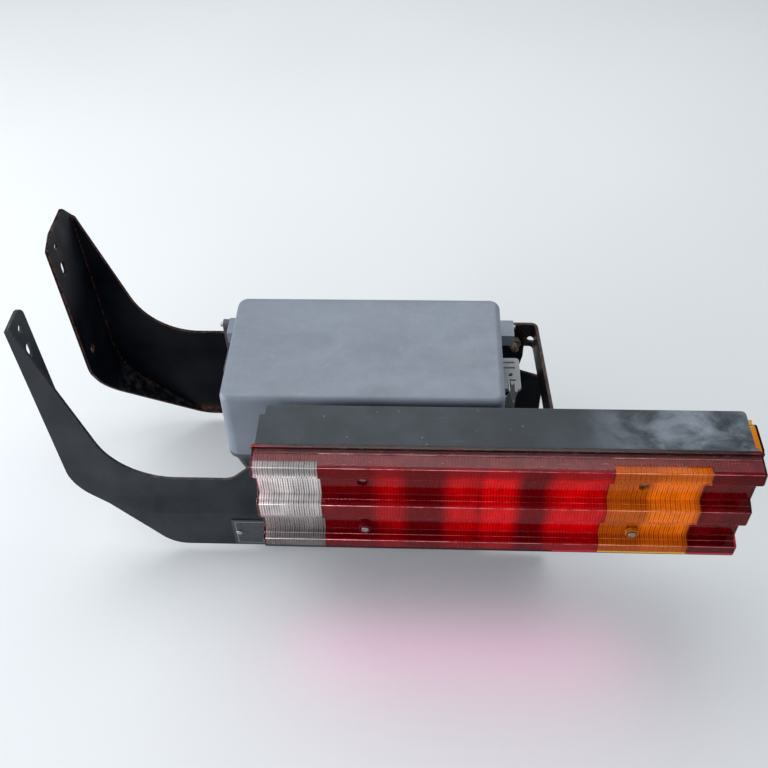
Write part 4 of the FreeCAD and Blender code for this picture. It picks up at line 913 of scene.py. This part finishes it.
# CAD nodes that keep their shape: the node, the width of its rounded edges in millimetres, its material.
SOFTENED = [
    ("front_bracket_plate", 0.7, PAINT),
    ("rear_bracket_plate", 0.7, REAR_PAINT),
    ("end_strap", 0.7, STRAP_PAINT),
    ("cross_tube_left", 0.5, PAINT),
    ("cross_tube_right", 0.5, PAINT),
    ("end_strap_bolts", 0.6, RUSTY),
    ("end_strap_nuts", 0.6, RUSTY),
    ("blank_plate", 0.3, FILM),
    ("blank_plate_rivets", 0.6, ZINC),
    ("lens_gasket", 0.3, RUBBER),
    ("lens_screws", 0.4, ZINC),
    ("lens_screw_collars", 0.2, BLACK),
    ("lamp_housing", 1.4, HOUSING),
    ("reflector_panel", 0.3, MIRROR),
    ("bulb_holders", 0.5, BLACK),
    ("bulb_caps", 0.4, BRASS),
    ("bulb_glasses", 0.2, GLASS),
    ("side_marker_base", 0.5, HOUSING),
    ("side_marker_lens", 0.9, LENS_LOOKS["amber"]),
    ("lamp_connector", 0.5, BLACK),
    ("connector_pins", 0.3, BRASS),
    ("lamp_bolts", 0.5, ZINC),
    ("rubber_spacers", 0.6, RUBBER),
    ("lamp_washers", 0.2, ZINC),
    ("lamp_nuts", 0.5, ZINC),
    ("box_base", 0.8, TUB),
    ("hinge_brackets", 0.6, TUB),
    ("box_lid", 0.8, LID),
    ("lid_gasket", 0.3, RUBBER),
    ("hinge_pin", 0.4, ZINC),
    ("latch_bracket", 0.5, FITTING),
    ("latch_lever", 0.6, FITTING),
    ("latch_pin", 0.3, ZINC),
    ("latch_bail", 0.05, ZINC),
    ("lid_catch", 0.5, LID),
    ("slotted_side_flange", 0.5, FITTING),
    ("side_screws", 0.4, ZINC),
    ("terminal_rail", 0.3, ZINC),
    ("terminal_blocks", 0.5, TERMINAL),
    ("terminal_screws", 0.3, BRASS),
    ("cable_glands", 0.5, BLACK),
    ("gland_nuts", 0.5, BLACK),
    ("box_spacers", 0.4, BLACK),
    ("box_bolts", 0.4, ZINC),
    ("box_nuts", 0.4, ZINC),
]


def build_softened():
    for node, width, material in SOFTENED:
        soften(node, width, material)


FLOOR_SIZE = 9.0
FLOOR_GAP = 0.0002


def lamp(name, place, aim, size, power, colour):
    """Rectangular area light that points at a place."""
    data = bpy.data.lights.new(name, "AREA")
    data.shape = "RECTANGLE"
    data.size, data.size_y = size
    data.energy = power
    data.color = colour
    light = bpy.data.objects.new(name, data)
    bpy.context.scene.collection.objects.link(light)
    light.location = place
    light.rotation_euler = (Vector(aim) - Vector(place)).to_track_quat("-Z", "Y").to_euler()
    light.visible_camera = False


def stage():
    """Pale floor and soft studio light."""
    bpy.ops.mesh.primitive_plane_add(size=FLOOR_SIZE, location=(0, 0, cad_low.z - FLOOR_GAP))
    floor = bpy.context.object
    floor.name = "floor"
    floor.data.materials.append(floor_paint("floor_paint"))

    world = bpy.data.worlds.new("studio")
    bpy.context.scene.world = world
    world.use_nodes = True
    background = world.node_tree.nodes["Background"]
    background.inputs["Color"].default_value = (0.86, 0.90, 0.94, 1)
    background.inputs["Strength"].default_value = 0.5

    lamp("sky_panel", (-0.4, 0.9, 2.4), (-0.1, 0.1, 0.1), (3.0, 2.4), 49, (1.0, 0.995, 0.985))
    lamp("front_panel", (0.3, -2.5, 1.1), (0.1, -0.2, 0.15), (3.0, 1.4), 13, (0.99, 0.99, 1.0))
    lamp("side_panel", (-2.4, -0.3, 0.5), (0, 0, 0.2), (1.8, 0.8), 62, (0.97, 0.98, 1.0))
    middle = (red_low.x + red_high.x) / 2
    near = LENS_FRONT - 0.05
    lamp("lens_glow", (middle, near, 0.08), (middle, near - 0.03, 0.0), (0.42, 0.05), 0.07, (1.0, 0.1, 0.45))


# Camera: focal length and sensor in millimetres, place in metres, angles in degrees.
FOCAL_LENGTH = 43.8796875
SENSOR = 36.0
CAMERA_PLACE = (0.0428, -0.7842, 1.0959)
CAMERA_DOWN = 47.2
CAMERA_YAW = -3.7
CAMERA_ROLL = 2.0


def camera():
    """Camera at the photograph's viewing angle."""
    down, yaw, roll = (math.radians(angle) for angle in (CAMERA_DOWN, CAMERA_YAW, CAMERA_ROLL))
    forward = Vector((math.sin(yaw) * math.cos(down), math.cos(yaw) * math.cos(down), -math.sin(down)))
    right = Vector((math.cos(yaw), -math.sin(yaw), 0))
    below = forward.cross(right)
    turned_right = right * math.cos(roll) + below * math.sin(roll)
    turned_below = -right * math.sin(roll) + below * math.cos(roll)
    turned = Matrix((turned_right, -turned_below, -forward)).transposed()
    data = bpy.data.cameras.new("camera")
    data.sensor_width = SENSOR
    data.lens = FOCAL_LENGTH
    data.clip_start = 0.01
    data.clip_end = 50
    holder = bpy.data.objects.new("camera", data)
    bpy.context.scene.collection.objects.link(holder)
    holder.matrix_world = Matrix.Translation(CAMERA_PLACE) @ turned.to_4x4()
    bpy.context.scene.camera = holder


build_lens()
build_softened()
stage()
camera()
bpy.context.scene.view_settings.view_transform = "Standard"
